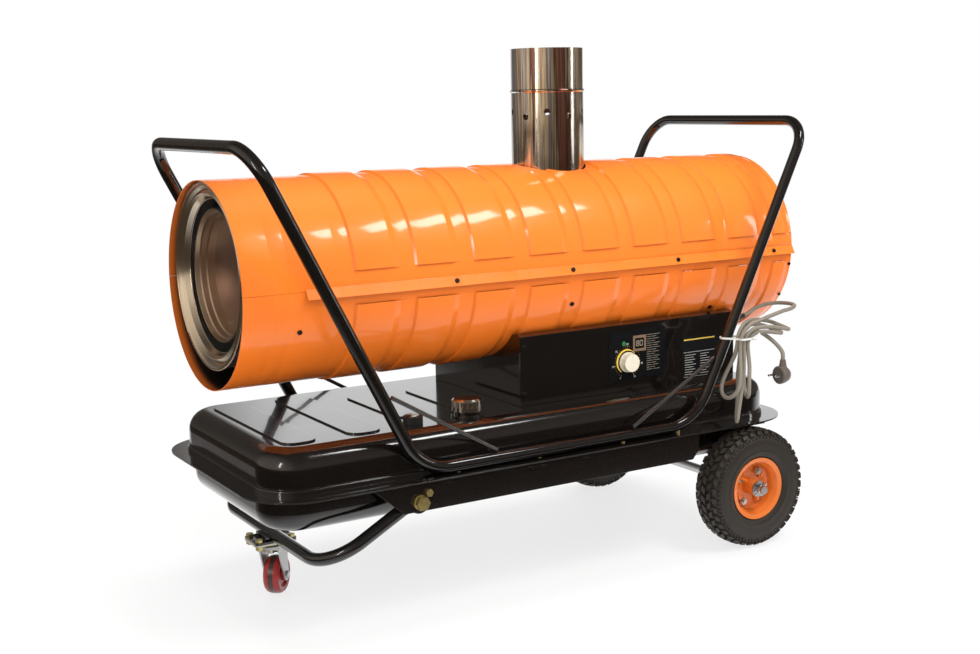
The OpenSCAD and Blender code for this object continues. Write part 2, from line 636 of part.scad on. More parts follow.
bend_x = hank_at.x + strand + waist_r;
function ease(t) = let (q = max(0, min(1, t))) q * q * (3 - 2 * q);
function half(t) = strand / 2 + (tip_r - strand / 2) * ease(t);
function column_r(c) = waist_r + strand * (2 - c);
function waist(c, y, a) = [bend_x - column_r(c) * cos(a), hank_at.y + y, hank_at.z + column_r(c) * sin(a)];
function hang_point(c, s, w) =
  let (h = hanging[c], x0 = strand * (c - 1), q = pow(s / h[0], 1.4), f = ease(s / (h[0] - tip_r)))
  [hank_at.x + x0 + (h[1].x - x0) * q + f * sin(h[2]) * w, hank_at.y + h[1].y * q + (1 - f + f * cos(h[2])) * w,
    hank_at.z - s];
function hang_loop(c) = let (l = hanging[c][0] - tip_r) concat(
  [for (i = [1:4]) hang_point(c, l * i / 4, -half(i / 4))],
  [for (i = [1:4]) hang_point(c, l + tip_r * sin(36 * i), -tip_r * cos(36 * i))],
  [for (i = [4:-1:1]) hang_point(c, l * i / 4, half(i / 4))]);
function stand_point(k, s, w, level) =
  [bend_x + s, hank_at.y + w, hank_at.z + level - standing[k][1] * pow(s / standing[k][0], 2)];
function stand_side(k, side) =
  let (c = side > 0 ? k : k + 1, r = column_r(c), l = standing[k][0] - tip_r, run = r * 1.57) concat(
    [for (a = [0, 25, 50, 75]) waist(c, side * half(a / 90 * run / (run + l)), a)],
    [for (f = [0.35, 1]) stand_point(k, l * f, side * half((run + l * f) / (run + l)), r)]);
function stand_loop(k) = concat(stand_side(k, 1),
  [for (i = [1:4]) stand_point(k, standing[k][0] - tip_r + tip_r * sin(36 * i), tip_r * cos(36 * i),
    column_r(k) - strand * ease(i / 5))],
  let (back = stand_side(k, -1)) [for (i = [len(back) - 1:-1:0]) back[i]]);
route = concat(lead_in, [for (a = [68, 42, 20, 0]) waist(0, -strand / 2, a)],
  hang_loop(0), stand_loop(0), hang_loop(1), stand_loop(1), hang_loop(2),
  [for (a = [0, 35, 70]) waist(2, strand / 2, a)], lead_out);

function blend(a, b, c, d, t) = 0.5 * (2 * b + (c - a) * t + (2 * a - 5 * b + 4 * c - d) * t * t
  + (3 * b - a - 3 * c + d) * t * t * t);
function at(i) = route[max(0, min(len(route) - 1, i))];
cord_line = concat([for (i = [0:len(route) - 2], t = [0, 0.5])
  blend(at(i - 1), at(i), at(i + 1), at(i + 2), t)], [route[len(route) - 1]]);
cord_cut = 2 * (len(lead_in) - 5);
function at_line(i) = cord_line[max(0, min(i, len(cord_line) - 1))];
function heading(i) = let (k = min(i, len(cord_line) - 1)) unit(at_line(k + 1) - at_line(k - 1));
across = [for (i = 0, u = [0, 0, 1]; i < len(cord_line); i = i + 1,
  u = unit(u - heading(i) * (heading(i) * u))) u];
run_at = [for (i = 0, d = 0; i < len(cord_line); d = d + norm(at_line(i + 1) - at_line(i)), i = i + 1) d];
// least clear distance between two turns of the cord, more than 30 mm of cord apart
least_gap = min([for (i = [0:len(cord_line) - 1], j = [i + 3:1:len(cord_line) - 1])
  if (run_at[j] - run_at[i] > 30) norm(cord_line[i] - cord_line[j])]) - cord_d;
echo(cord_length = run_at[len(run_at) - 1], least_gap = least_gap);

// tube of six sides along the cord's points from one index to another
module cord_tube(i0, i1) {
  sides = 6;
  n = i1 - i0 + 1;
  rings = [for (i = [i0:i1], k = [0:sides - 1])
    cord_line[i] + cord_d / 2 * (across[i] * cos(60 * k) + cross(heading(i), across[i]) * sin(60 * k))];
  polyhedron(rings, concat([[for (k = [0:sides - 1]) k]], [[for (k = [sides - 1:-1:0]) (n - 1) * sides + k]],
    [for (i = [0:n - 2], k = [0:sides - 1])
      [i * sides + k, (i + 1) * sides + k, (i + 1) * sides + (k + 1) % sides, i * sides + (k + 1) % sides]]));
}
module power_cord() color([0.62, 0.6, 0.56]) placed() cord_tube(0, cord_cut);
module cord_hank() color([0.62, 0.6, 0.56]) placed() cord_tube(cord_cut, len(cord_line) - 1);

plug_at = [1121, -330, 372];
module power_plug() color([0.58, 0.56, 0.53]) placed() translate(plug_at) {
  translate([-3, 0, 0]) rotate([0, -90, 0]) cylinder(r = 19, h = 10);
  translate([-4, 0, 0]) rotate([0, 90, 0]) cylinder(r1 = 18, r2 = 12, h = 17);
  cylinder(r1 = 10, r2 = 6.5, h = 31);
  for (y = [-9.5, 9.5]) translate([-12, y, 0]) rotate([0, -90, 0]) cylinder(r = 2.4, h = 19);
}
// strap round the handle's leg and the hank's waist, seen from above
strap = [[1018, -252.6], [1023, -250.4], [1028.4, -249.8], [1034, -250.4], [1039, -252.8], [1042.5, -257],
  [1066.5, -279], [1067.6, -283], [1067.4, -299], [1064, -303.4], [1038, -303.6], [1033.6, -301], [1031.5, -290],
  [1014.6, -266], [1014.2, -259]];
module cable_tie() color([0.92, 0.92, 0.9]) placed() translate([0, 0, 448.5]) {
  middle = [1038, -275];
  linear_extrude(4) difference() {
    polygon([for (p = strap) p + 1.5 * unit(p - middle)]);
    polygon(strap);
  }
  translate([1059, -309.4, -0.8]) cube([8, 5.4, 6.4]);
  translate([1063, -310.6, 0.4]) rotate([0, -38, 0]) cube([17, 1.4, 4.2]);
}

// fuel tank

ribs = [[102, 190], [232, 190], [362, 120], [492, 110]];
rail_bolts = [380, 560, 760, 900];
module tank_middle() translate([tank_front + tank_len / 2, 0, 0]) children();
module flange_holes() for (x = rail_bolts) both_sides() translate([x, leg_y, flange_z - 20])
  cylinder(r = 4.3, h = 30);
module tank_upper() color([0.07, 0.07, 0.08]) placed() difference() {
  h = tank_top - flange_z + flange_t;
  union() {
    tank_middle() translate([0, 0, flange_z - flange_t]) {
      pan(tank_len, tank_w, tank_corner, h, 38);
      pan(tank_len + 7, tank_w + 7, tank_corner + 3.5, 12, 4);
      slab(flange_len, flange_w, flange_corner, flange_t);
    }
    for (q = ribs) translate([q.x, 0, tank_top - 1]) slab(68, q.y * 2, 26, 4);
  }
  tank_middle() translate([0, 0, flange_z - flange_t - 1])
    pan(tank_len - 2 * tank_t, tank_w - 2 * tank_t, tank_corner - tank_t, h + 1 - tank_t, 38 - tank_t);
  translate([filler.x, filler.y, tank_top - 8]) cylinder(r = 25.3, h = 20);
  translate([gauge.x, gauge.y, tank_top - 8]) cylinder(r = 12.3, h = 20);
  translate([pipe_at.x, pipe_at.y, tank_top - 8]) cylinder(r = 3.6, h = 20);
  flange_holes();
}
module tank_lower() color([0.07, 0.07, 0.08]) placed() difference() {
  top = flange_z - flange_t - 0.02;
  union() {
    tank_middle() translate([0, 0, top]) scale([1, 1, -1])
      pan(tank_len - 8, sump_w, tank_corner, top - tank_bottom, 38);
    tank_middle() translate([0, 0, top - flange_t]) slab(flange_len, flange_w, flange_corner, flange_t);
  }
  tank_middle() translate([0, 0, top + 1]) scale([1, 1, -1])
    pan(tank_len - 8 - 2 * tank_t, sump_w - 2 * tank_t, tank_corner - tank_t, top - tank_bottom + 1 - tank_t,
      38 - tank_t);
  translate([1010, 120, tank_bottom - 5]) cylinder(r = 8.3, h = 12);
  flange_holes();
}
module drain_plug() color([0.75, 0.68, 0.4]) placed() translate([1010, 120, tank_bottom]) {
  translate([0, 0, -2]) cylinder(r = 8, h = 8);
  translate([0, 0, -8 - gap]) hex(19, 8);
}
module filler_neck() color([0.1, 0.1, 0.1]) placed() translate([filler.x, filler.y, 0]) difference() {
  union() {
    translate([0, 0, tank_top - 8]) cylinder(r = 25, h = 34);
    translate([0, 0, tank_top + gap]) cylinder(r = 31, h = 3);
  }
  translate([0, 0, tank_top - 9]) cylinder(r = 22, h = 40);
}
module fuel_cap() color([0.8, 0.72, 0.6]) placed() translate([filler.x, filler.y, tank_top]) difference() {
  union() {
    translate([0, 0, 12]) cylinder(d = cap_d, h = 20);
    translate([0, 0, 32]) cylinder(d1 = cap_d, d2 = cap_d - 8, h = 4);
    translate([0, 0, 20]) cylinder(d = 43, h = 12);
  }
  translate([0, 0, 11]) pipe(25.4, 21.6, 15.5);
  translate([0, 0, 11]) cylinder(r = 18, h = 13);
  translate([0, 0, 11]) cylinder(r = 25.4, h = 8);
  for (k = [0:17]) rotate([0, 0, k * 20]) translate([cap_d / 2 + 1.2, 0, 21]) cylinder(r = 2.4, h = 20);
}

module gauge_body() color([0.12, 0.12, 0.12]) placed() translate([gauge.x, gauge.y, 0]) difference() {
  union() {
    translate([0, 0, tank_top + gap]) cylinder(d = gauge_d, h = 14);
    translate([0, 0, sender_z - 9]) cylinder(r = 12, h = tank_top - sender_z + 12);
  }
  translate([0, 0, tank_top + 7]) cylinder(r = 15.6, h = 20);
  translate([0, 0, tank_top - 2]) cylinder(r = 1.5 + run_gap, h = 20);
  difference() {
    translate([-20, -3.4, sender_z - 10]) cube([40, 6.8, 18]);
    translate([0, -4, sender_z]) rotate([-90, 0, 0]) cylinder(r = 2, h = 8);
  }
}
module gauge_lens() color([0.85, 0.75, 0.55, 0.5]) placed() translate([gauge.x, gauge.y, tank_top])
  rotate_extrude() polygon([[0, 14.6], [13.9, 14.6], [13.9, 12], [15.3, 12], [15.3, 14.6], [17.6, 14.6], [17.6, 16.2], [12, 19], [0, 20]]);
module gauge_pointer() color([0.85, 0.15, 0.1]) placed() translate([gauge.x, gauge.y, tank_top]) {
  cylinder(r = 1.5, h = 10);
  translate([0, 0, 8]) cylinder(r = 4, h = 1.6);
  translate([-12, -1, 8.2]) cube([13, 2, 1.2]);
}
module float_arm() color([0.8, 0.78, 0.6]) placed() translate([gauge.x, gauge.y, sender_z])
  rotate([0, -float_drop, 0]) difference() {
    union() {
      translate([0, -3, 0]) rotate([-90, 0, 0]) cylinder(r = 5, h = 6);
      translate([-4, 0, 0]) rotate([0, -90, 0]) cylinder(r = 2, h = 100);
      translate([-100, -16, 0]) rotate([-90, 0, 0]) cylinder(r = 14, h = 32);
    }
    translate([0, -4, 0]) rotate([-90, 0, 0]) cylinder(r = 2 + run_gap, h = 8);
  }

// frame

module rail(s) color([0.08, 0.08, 0.09]) placed() scale([1, s, 1]) difference() {
  union() {
    translate([195, rail_y - 34, ledge_z - rail_t]) cube([925, 34, rail_t]);
    along_y(rail_y - rail_t, rail_t) polygon([[195, ledge_z], [255, ledge_z - rail_h], [925, ledge_z - rail_h],
      [940, ledge_z - rail_h + 18], [940, ledge_z]]);
  }
  for (q = [[carrier_pivot.x, carrier_pivot.y, 8.3], [306, 243, 4.3], [352, 252, 3], [528, 252, 4], [557, 252, 3],
    [659, 252, 3]]) translate([q.x, rail_y - 10, q.y]) rotate([-90, 0, 0]) cylinder(r = q.z, h = 20);
  for (x = concat(rail_bolts, [axle_x - 25, axle_x + 25])) translate([x, leg_y, ledge_z - 10])
    cylinder(r = 4.3, h = 20);
}
module left_rail() rail(-1);
module right_rail() rail(1);

front_top = [-2, leg_y, front_grip_z];
front_foot = [-2 + front_lean * (front_grip_z - run_z), leg_y, run_z];
rear_top = [rear_grip_x, leg_y, rear_grip_z];
rear_foot = [rear_grip_x - rear_lean * (rear_grip_z - run_z), leg_y, run_z];
function far(p) = [p.x, -p.y, p.z];
module bolt_holes() for (x = rail_bolts) both_sides() translate([x, leg_y, run_z - 20]) cylinder(r = 4.3, h = 18);
module front_handle() color([0.06, 0.06, 0.07]) placed() difference() {
  bent_bar([[tube_joint_x, leg_y, run_z], front_foot, front_top, far(front_top), far(front_foot),
    [tube_joint_x, -leg_y, run_z]], [100, 72, 72, 100], tube_d / 2, plug_tube_d / 2 + 0.1);
  bolt_holes();
}
module rear_handle() color([0.06, 0.06, 0.07]) placed() difference() {
  bent_bar([[tube_joint_x - 60, leg_y, run_z], rear_foot, rear_top, far(rear_top), far(rear_foot),
    [tube_joint_x - 60, -leg_y, run_z]], [110, 66, 66, 110], plug_tube_d / 2, plug_tube_d / 2 - 1.5);
  bolt_holes();
}
module handle_braces() color([0.07, 0.07, 0.08]) placed() both_sides() {
  bar([245.5, leg_y, 423.5], [465, leg_y, run_z + tube_d / 2 + 3.8], 4);
  bar([993, leg_y, 412], [785, leg_y, run_z + plug_tube_d / 2 + 3.8], 4);
}
// how deep the pivot's and the stop's bolts reach through rail and ear
ear_depth = rail_t + 2 * gap + 4.4;
module frame_bolts() color([0.72, 0.66, 0.42]) placed() both_sides() {
  for (x = rail_bolts) translate([x, leg_y, 0]) {
    translate([0, 0, ledge_z - rail_t - 5.5]) hex(13, 5.2);
    translate([0, 0, ledge_z - rail_t - 1]) cylinder(r = 4, h = run_z - ledge_z - 4);
  }
  for (x = [axle_x - 25, axle_x + 25]) translate([x, leg_y, ledge_z - rail_t - 3.6])
    translate([0, 0, -1.9]) { cylinder(r = 6, h = 1.9); cylinder(r = 4, h = 5); }
  translate([carrier_pivot.x, rail_y + gap, carrier_pivot.y]) rotate([-90, 0, 0]) {
    pipe(14, 8, 2);
    translate([0, 0, 2]) hex(24, 11);
    translate([0, 0, -ear_depth]) cylinder(r = 8, h = ear_depth + 16);
  }
  translate([306, rail_y + gap, 243]) rotate([-90, 0, 0]) {
    hex(13, 6);
    translate([0, 0, -ear_depth]) cylinder(r = 4, h = ear_depth + 7);
  }
}

// castor and its carrier

arm_y = rail_y - rail_t - gap - 5 - tube_d / 2 + 0.5;
module castor_carrier() color([0.07, 0.07, 0.08]) placed() difference() {
  union() {
    bent_bar([[carrier_pivot.x - 6, arm_y, carrier_pivot.y - 3], [carrier_cross.x, arm_y, carrier_cross.y],
      [carrier_cross.x, -arm_y, carrier_cross.y], [carrier_pivot.x - 6, -arm_y, carrier_pivot.y - 3]],
      [80, 80], tube_d / 2);
    both_sides() along_y(rail_y - rail_t - gap - 5, 5) difference() {
      union() {
        translate([carrier_pivot.x, carrier_pivot.y]) circle(22);
        translate([306, 243]) circle(13);
        polygon([[268, 222], [302, 209], [319, 240], [295, 255]]);
      }
      translate([carrier_pivot.x, carrier_pivot.y]) circle(8.3);
      translate([306, 243]) circle(4.3);
    }
    translate([castor_x, 0, plate_z + 4]) slab(84, 64, 6, 4);
    translate([castor_x - 20, -24, plate_z + 4]) cube([40, 48, 12]);
  }
  for (x = [-1, 1], y = [-1, 1]) translate([castor_x + x * 33, y * 24, 100]) cylinder(r = 4.3, h = 40);
}
module castor_plate() color([0.6, 0.58, 0.5]) placed() translate([castor_x, 0, 0]) difference() {
  union() {
    translate([0, 0, plate_z]) slab(84, 64, 6, 3.7);
    translate([0, 0, plate_z - 7]) cylinder(r1 = 20, r2 = 25, h = 7.2);
    translate([0, 0, 88]) cylinder(r = 6, h = plate_z + 3.7 - 88);
  }
  for (x = [-1, 1], y = [-1, 1]) translate([x * 33, y * 24, 100]) cylinder(r = 4.3, h = 40);
}
module castor_bolts() color([0.8, 0.72, 0.42]) placed()
  for (x = [-1, 1], y = [-1, 1]) translate([castor_x + x * 33, y * 24, 0]) {
    translate([0, 0, plate_z + 8 + gap]) hex(13, 5.3);
    translate([0, 0, plate_z - 9]) cylinder(r = 4, h = 19);
    translate([0, 0, plate_z - 6.8]) hex(13, 6.5);
  }
module swivelled() placed() translate([castor_x, 0, 0]) rotate([0, 0, castor_turn]) children();
module castor_fork() color([0.72, 0.72, 0.7]) swivelled() {
  difference() {
    union() {
      translate([0, 0, 100.5]) cylinder(r = 24, h = 5.6);
      translate([-15, -21, 99]) cube([45, 42, 3]);
      for (s = [1, -1]) scale([1, s, 1]) along_y(18, 3) {
        polygon([[-15, 102], [30, 102], [castor_trail + 12, 37], [castor_trail - 12, 37]]);
        translate([castor_trail, castor_d / 2]) circle(12);
      }
      translate([castor_trail, -25, castor_d / 2]) rotate([-90, 0, 0]) hex(13, 4);
      translate([castor_trail, 21, castor_d / 2]) rotate([-90, 0, 0]) hex(13, 5);
      translate([castor_trail, -25, castor_d / 2]) rotate([-90, 0, 0]) cylinder(r = 4, h = 51);
      translate([33, -19, 84]) rotate([-90, 0, 0]) cylinder(r = 2.5, h = 38);
      for (s = [1, -1]) scale([1, s, 1]) along_y(18, 3) polygon([[20, 98], [30, 98], [38, 84], [33, 78], [22, 80]]);
    }
    translate([0, 0, 80]) cylinder(r = 6 + run_gap, h = 40);
  }
}
module castor_wheel() color([0.6, 0.1, 0.1]) swivelled() translate([castor_trail, 0, castor_d / 2])
  rotate([-90, 0, 0]) difference() {
    rotate_extrude() {
      r = castor_d / 2;
      w = castor_w / 2;
      polygon([[4 + run_gap, -w - 1], [12, -w - 1], [12, -w + 3], [22, -w + 5], [25, -w + 1], [r - 5, -w],
        [r - 1.5, -w + 4], [r, -w + 10], [r, w - 10], [r - 1.5, w - 4], [r - 5, w], [25, w - 1], [22, w - 5],
        [12, w - 3], [12, w + 1], [4 + run_gap, w + 1]]);
    }
  }
module brake_pedal() color([0.15, 0.15, 0.15]) swivelled() difference() {
  union() {
    translate([33, -14, 84]) rotate([-90, 0, 0]) cylinder(r = 5.5, h = 28);
    along_y(-14, 28) polygon([[33, 89.5], [39, 88], [58, 76], [66, 75], [66, 72], [56, 71.5], [38, 80.5],
      [31, 79]]);
  }
  translate([33, -20, 84]) rotate([-90, 0, 0]) cylinder(r = 2.5 + run_gap, h = 40);
}

// axle and wheels

module axle() color([0.55, 0.55, 0.56]) placed() translate([axle_x, -wheel_y - 48, wheel_z])
  rotate([-90, 0, 0]) rotate_extrude() {
    r = axle_d / 2;
    l = track + 96;
    polygon([[0, 0], [r - axle_turned, 0], [r - axle_turned, axle_stub], [r, axle_stub + axle_turned],
      [r, l - axle_stub - axle_turned], [r - axle_turned, l - axle_stub], [r - axle_turned, l], [0, l]]);
  }
module axle_hangers() color([0.08, 0.08, 0.09]) placed() both_sides() difference() {
  union() {
    along_y(sump_w / 2 + 1.3, 4) {
      polygon([[axle_x - 43, ledge_z - rail_t - gap], [axle_x + 43, ledge_z - rail_t - gap],
        [axle_x + 22, wheel_z], [axle_x - 22, wheel_z]]);
      translate([axle_x, wheel_z]) circle(24);
    }
    translate([axle_x - 43, sump_w / 2 + 1.3, ledge_z - rail_t - gap - 3]) cube([86, 44, 3]);
  }
  translate([axle_x, 200, wheel_z]) rotate([-90, 0, 0]) cylinder(r = axle_d / 2 + 0.1, h = 60);
  for (x = [-25, 25]) translate([axle_x + x, leg_y, 240]) cylinder(r = 4.3, h = 40);
}
hub_in = wheel_y - hub_half;
hub_out = wheel_y + hub_half;
module axle_washers() color([0.7, 0.7, 0.7]) placed() both_sides() translate([axle_x, 0, wheel_z]) {
  rotate([-90, 0, 0]) {
    translate([0, 0, sump_w / 2 + 5.3 + gap]) pipe(16, axle_d / 2 + 0.1, hub_in - sump_w / 2 - 5.6 - gap);
    translate([0, 0, hub_out + gap]) pipe(17, axle_d / 2 + 0.1, 3);
  }
  translate([0, hub_out + 8, 0]) rotate([0, 65, 0]) difference() {
    translate([0, 0, -17]) cylinder(r = 2, h = 36);
    translate([0, 0, -axle_d / 2 - 0.1]) cylinder(r = 5, h = axle_d + 0.2);
  }
}
rim_r = 66;
module rim(s) color([0.95, 0.52, 0.2]) placed() translate([0, s * wheel_y, 0]) scale([1, s, 1])
  difference() {
    union() {
      wheel_turned(axle_x, wheel_z) {
        polygon([[rim_r, -29], [rim_r, -26.5], [63, -26], [58, -24], [53, -14], [51, 0], [53, 14], [58, 24],
          [63, 26], [rim_r, 26.5], [rim_r, 29], [62.5, 28.3], [56.5, 26], [50.8, 15], [48.6, 0], [50.8, -15],
          [56.5, -26], [62.5, -28.3]]);
        polygon([[16, -5], [46, -5], [50, 0], [50, 3.5], [44, -1.8], [16, -1.8]]);
        translate([axle_d / 2 + run_gap, -hub_half]) square([17 - axle_d / 2 - run_gap, 2 * hub_half]);
      }
      for (k = [0:3]) translate([axle_x, 0, wheel_z]) rotate([0, 45 + k * 90 + 12, 0]) translate([36, 0, 0])
        rotate([-90, 0, 0]) { translate([0, 0, -4.5]) cylinder(r = 4, h = 12);
          translate([0, 0, -2]) hex(13, 5.6); translate([0, 0, -9.6]) hex(13, 5); }
      translate([axle_x, 0, wheel_z]) rotate([0, -145, 0]) bar([50.5, 2, 0], [39, 29, 0], 2.8);
    }
  }
module left_rim() rim(-1);
module right_rim() rim(1);
function flip(a) = [for (i = [len(a) - 1:-1:0]) [a[i].x, -a[i].y]];
module tyre(s) color([0.13, 0.12, 0.12]) placed() translate([0, s * wheel_y, 0])
  wheel_turned(axle_x, wheel_z) {
    h = tyre_w / 2;
    r = wheel_d / 2;
    outer = [[61, 25.2], [rim_r + 1.5, 25.2], [rim_r + 3, h - 4], [80, h - 0.8], [94, h], [106, h - 1], [116, h - 4],
      [122, h - 9], [125.5, h - 18], [r, h - 26]];
    inner = [[r - 9, h - 26], [r - 10, h - 16], [112, h - 10], [104, h - 6], [94, h - 5], [80, h - 6],
      [rim_r + 2, h - 10], [61, 20]];
    polygon(concat(outer, flip(outer), flip(inner), inner));
  }
module left_tyre() tyre(-1);
module right_tyre() tyre(1);

upper_casing();
lower_casing();
outlet_ring();
heat_shield();
exchanger_drum();
exchanger_front();
combustion_chamber();
flue_pipe();
burner_head();
fuel_nozzle();
fuel_pump();
fuel_pipes();
fan_motor();
motor_bracket();
motor_shaft();
fan();
fan_guard();
casing_screws();
control_box();
control_cover();
panel_plate();
rating_plate();
thermostat_body();
thermostat_knob();
display_module();
power_lamp();
ignition_transformer();
cord_gland();
power_cord();
cord_hank();
power_plug();
cable_tie();
tank_upper();
tank_lower();
filler_neck();
fuel_cap();
gauge_body();
gauge_lens();
gauge_pointer();
float_arm();
drain_plug();
left_rail();
right_rail();
front_handle();
rear_handle();
handle_braces();
frame_bolts();
castor_carrier();
castor_plate();
castor_bolts();
castor_fork();
castor_wheel();
brake_pedal();
axle();
axle_hangers();
axle_washers();
left_tyre();
left_rim();
right_tyre();
right_rim();
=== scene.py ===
import bpy
import bmesh
import math
from mathutils import Matrix, Vector


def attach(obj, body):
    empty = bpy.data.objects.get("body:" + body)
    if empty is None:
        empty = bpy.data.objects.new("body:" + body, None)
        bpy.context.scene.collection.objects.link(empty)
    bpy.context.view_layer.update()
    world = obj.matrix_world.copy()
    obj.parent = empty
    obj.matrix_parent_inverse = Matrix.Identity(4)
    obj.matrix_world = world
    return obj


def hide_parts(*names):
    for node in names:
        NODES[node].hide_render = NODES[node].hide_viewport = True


# Indirect oil heater on a wheeled tank frame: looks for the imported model. Metres, the frame's own axes:
# -X is the warm end, +X the fan end, -Y the side with the controls, +Z up.

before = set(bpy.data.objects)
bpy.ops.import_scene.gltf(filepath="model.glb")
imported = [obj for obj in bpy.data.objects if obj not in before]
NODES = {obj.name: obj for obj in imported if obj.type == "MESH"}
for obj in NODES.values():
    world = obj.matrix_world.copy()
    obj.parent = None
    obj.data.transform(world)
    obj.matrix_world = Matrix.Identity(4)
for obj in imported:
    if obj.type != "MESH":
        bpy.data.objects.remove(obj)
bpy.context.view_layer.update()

MM = 0.001
FROM_RIM = -627.0           # the barrel's front rim is this far along X from the frame's origin
BARREL_Z = 635.0
AXLE = (1083.0, 127.0)      # X from the front rim, and Z
WHEEL_Y = 274.0
BAND_START, BAND_PITCH, BAND_LEN = 213.0, 125.0, 95.0


def at(x, y, z):
    """A point given in millimetres from the barrel's front rim, in the frame's metres."""
    return Vector(((x + FROM_RIM) * MM, y * MM, z * MM))


# Objects and meshes

def as_object(name, data):
    piece = bpy.data.objects.new(name, data)
    bpy.context.scene.collection.objects.link(piece)
    return piece


def from_bmesh(name, bm, material, smooth=0):
    """A finished piece, with its faces shaded smooth where they meet under an angle in degrees."""
    bmesh.ops.remove_doubles(bm, verts=bm.verts, dist=1e-6)
    bmesh.ops.recalc_face_normals(bm, faces=bm.faces)
    mesh = bpy.data.meshes.new(name)
    bm.to_mesh(mesh)
    bm.free()
    if smooth:
        mesh.polygons.foreach_set("use_smooth", [True] * len(mesh.polygons))
        mesh.set_sharp_from_angle(angle=math.radians(smooth))
    mesh.materials.append(material)
    return as_object(name, mesh)


def ring_frame(direction):
    """A direction and two more that stand square to it."""
    direction = Vector(direction).normalized()
    side = direction.cross(Vector((0, 0, 1)))
    if side.length < 1e-3:
        side = direction.cross(Vector((0, 1, 0)))
    side.normalize()
    return direction, side, direction.cross(side)


def ring(bm, centre, side, over, radius, steps):
    """Vertices on a circle in metres, or a single one where the radius is nought."""
    if radius < 1e-9:
        return [bm.verts.new(centre)]
    turns = [2 * math.pi * k / steps for k in range(steps)]
    return [bm.verts.new(centre + (side * math.cos(a) + over * math.sin(a)) * radius) for a in turns]


def join_rings(bm, rings):
    """Faces between each ring and the next."""
    for a, b in zip(rings, rings[1:]):
        steps = max(len(a), len(b))
        for k in range(steps):
            n = (k + 1) % steps
            corners = dict.fromkeys([a[k % len(a)], a[n % len(a)], b[n % len(b)], b[k % len(b)]])
            bm.faces.new(list(corners))


def lathe(bm, origin, direction, profile, steps, closed=False):
    """Turns (radius, height) pairs in millimetres about a line from origin, a Vector in metres."""
    along, side, over = ring_frame(direction)
    rings = [ring(bm, origin + along * height * MM, side, over, radius * MM, steps)
             for radius, height in profile]
    join_rings(bm, rings + rings[:1] if closed else rings)


def tube(bm, points, radii, sides):
    """A closed tube along points, with a radius at each, all in metres."""
    over = ring_frame(points[1] - points[0])[1]
    rings = []
    for i, (place, radius) in enumerate(zip(points, radii)):
        ahead = (points[min(i + 1, len(points) - 1)] - points[max(i - 1, 0)]).normalized()
        over = (over - ahead * over.dot(ahead)).normalized()
        rings.append(ring(bm, place, over, ahead.cross(over), radius, sides))
    join_rings(bm, rings)
    bm.faces.new(rings[0])
    bm.faces.new(rings[-1])


def slab(bm, centre, size, turn=None):
    """A box in metres, turned by a matrix about its centre."""
    made = bmesh.ops.create_cube(bm, size=1.0)["verts"]
    bmesh.ops.scale(bm, vec=Vector(size), verts=made)
    if turn is not None:
        bmesh.ops.rotate(bm, cent=(0, 0, 0), matrix=turn, verts=made)
    bmesh.ops.translate(bm, vec=Vector(centre), verts=made)


# Camera

CAMERA_ANGLES = (-31.2, 9.36, -1.06)    # turn about Z, tilt downwards and roll, in degrees
CAMERA_PLACE = (-1.478, -2.417, 0.946)
CAMERA_LENS = 50.63                     # millimetres, on a sensor 36 mm wide


def aim_camera():
    """Looks at the heater's warm end and its controls from the photograph's place."""
    turn, tilt, roll = (math.radians(angle) for angle in CAMERA_ANGLES)
    back = Vector((math.sin(turn) * math.cos(tilt), -math.cos(turn) * math.cos(tilt), math.sin(tilt)))
    level = (-back).cross(Vector((0, 0, 1))).normalized()
    upright = level.cross(-back)
    right = level * math.cos(roll) + upright * math.sin(roll)
    up = upright * math.cos(roll) - level * math.sin(roll)
    data = bpy.data.cameras.new("view")
    data.lens = CAMERA_LENS
    data.sensor_width = 36.0
    data.clip_end = 60
    camera = as_object("view", data)
    camera.matrix_world = Matrix.Translation(CAMERA_PLACE) @ Matrix((right, up, back)).transposed().to_4x4()
    bpy.context.scene.camera = camera


aim_camera()
bpy.context.scene.view_settings.view_transform = "Standard"


# Nodes

def fill(tree, node, inputs):
    """Puts a value, or what another node puts out, on each named input of a node."""
    for label, value in inputs.items():
        if hasattr(value, "is_output"):
            tree.links.new(value, node.inputs[label])
        else:
            node.inputs[label].default_value = value
    return node


def added(tree, kind, inputs=None, **settings):
    """A new node with its settings and its inputs."""
    node = tree.nodes.new(kind)
    for label, value in settings.items():
        setattr(node, label, value)
    return fill(tree, node, inputs or {})


def maths(tree, kind, *values):
    return added(tree, "ShaderNodeMath", dict(enumerate(values)), operation=kind).outputs[0]


def vector_maths(tree, kind, *values):
    node = added(tree, "ShaderNodeVectorMath", dict(enumerate(values)), operation=kind)
    return node.outputs["Value" if kind in ("LENGTH", "DOT_PRODUCT") else "Vector"]


def split(tree, vector):
    """A vector's numbers, found by X, Y and Z."""
    return added(tree, "ShaderNodeSeparateXYZ", {0: vector}).outputs


def vector_of(tree, x, y, z):
    return added(tree, "ShaderNodeCombineXYZ", {0: x, 1: y, 2: z}).outputs[0]


def object_place(tree):
    return added(tree, "ShaderNodeTexCoord").outputs["Object"]


def cloud(tree, place, scale, detail, rough):
    """Soft noise over a surface."""
    return added(tree, "ShaderNodeTexNoise", {"Vector": place, "Scale": scale, "Detail": detail,
                                              "Roughness": rough}).outputs["Fac"]


def ramped(tree, value, start, end, low=0.0, high=1.0, kind="SMOOTHSTEP"):
    """A step of a value from one level to another, soft unless its kind is LINEAR."""
    return added(tree, "ShaderNodeMapRange", {"Value": value, "From Min": start, "From Max": end,
                                              "To Min": low, "To Max": high},
                 interpolation_type=kind).outputs[0]


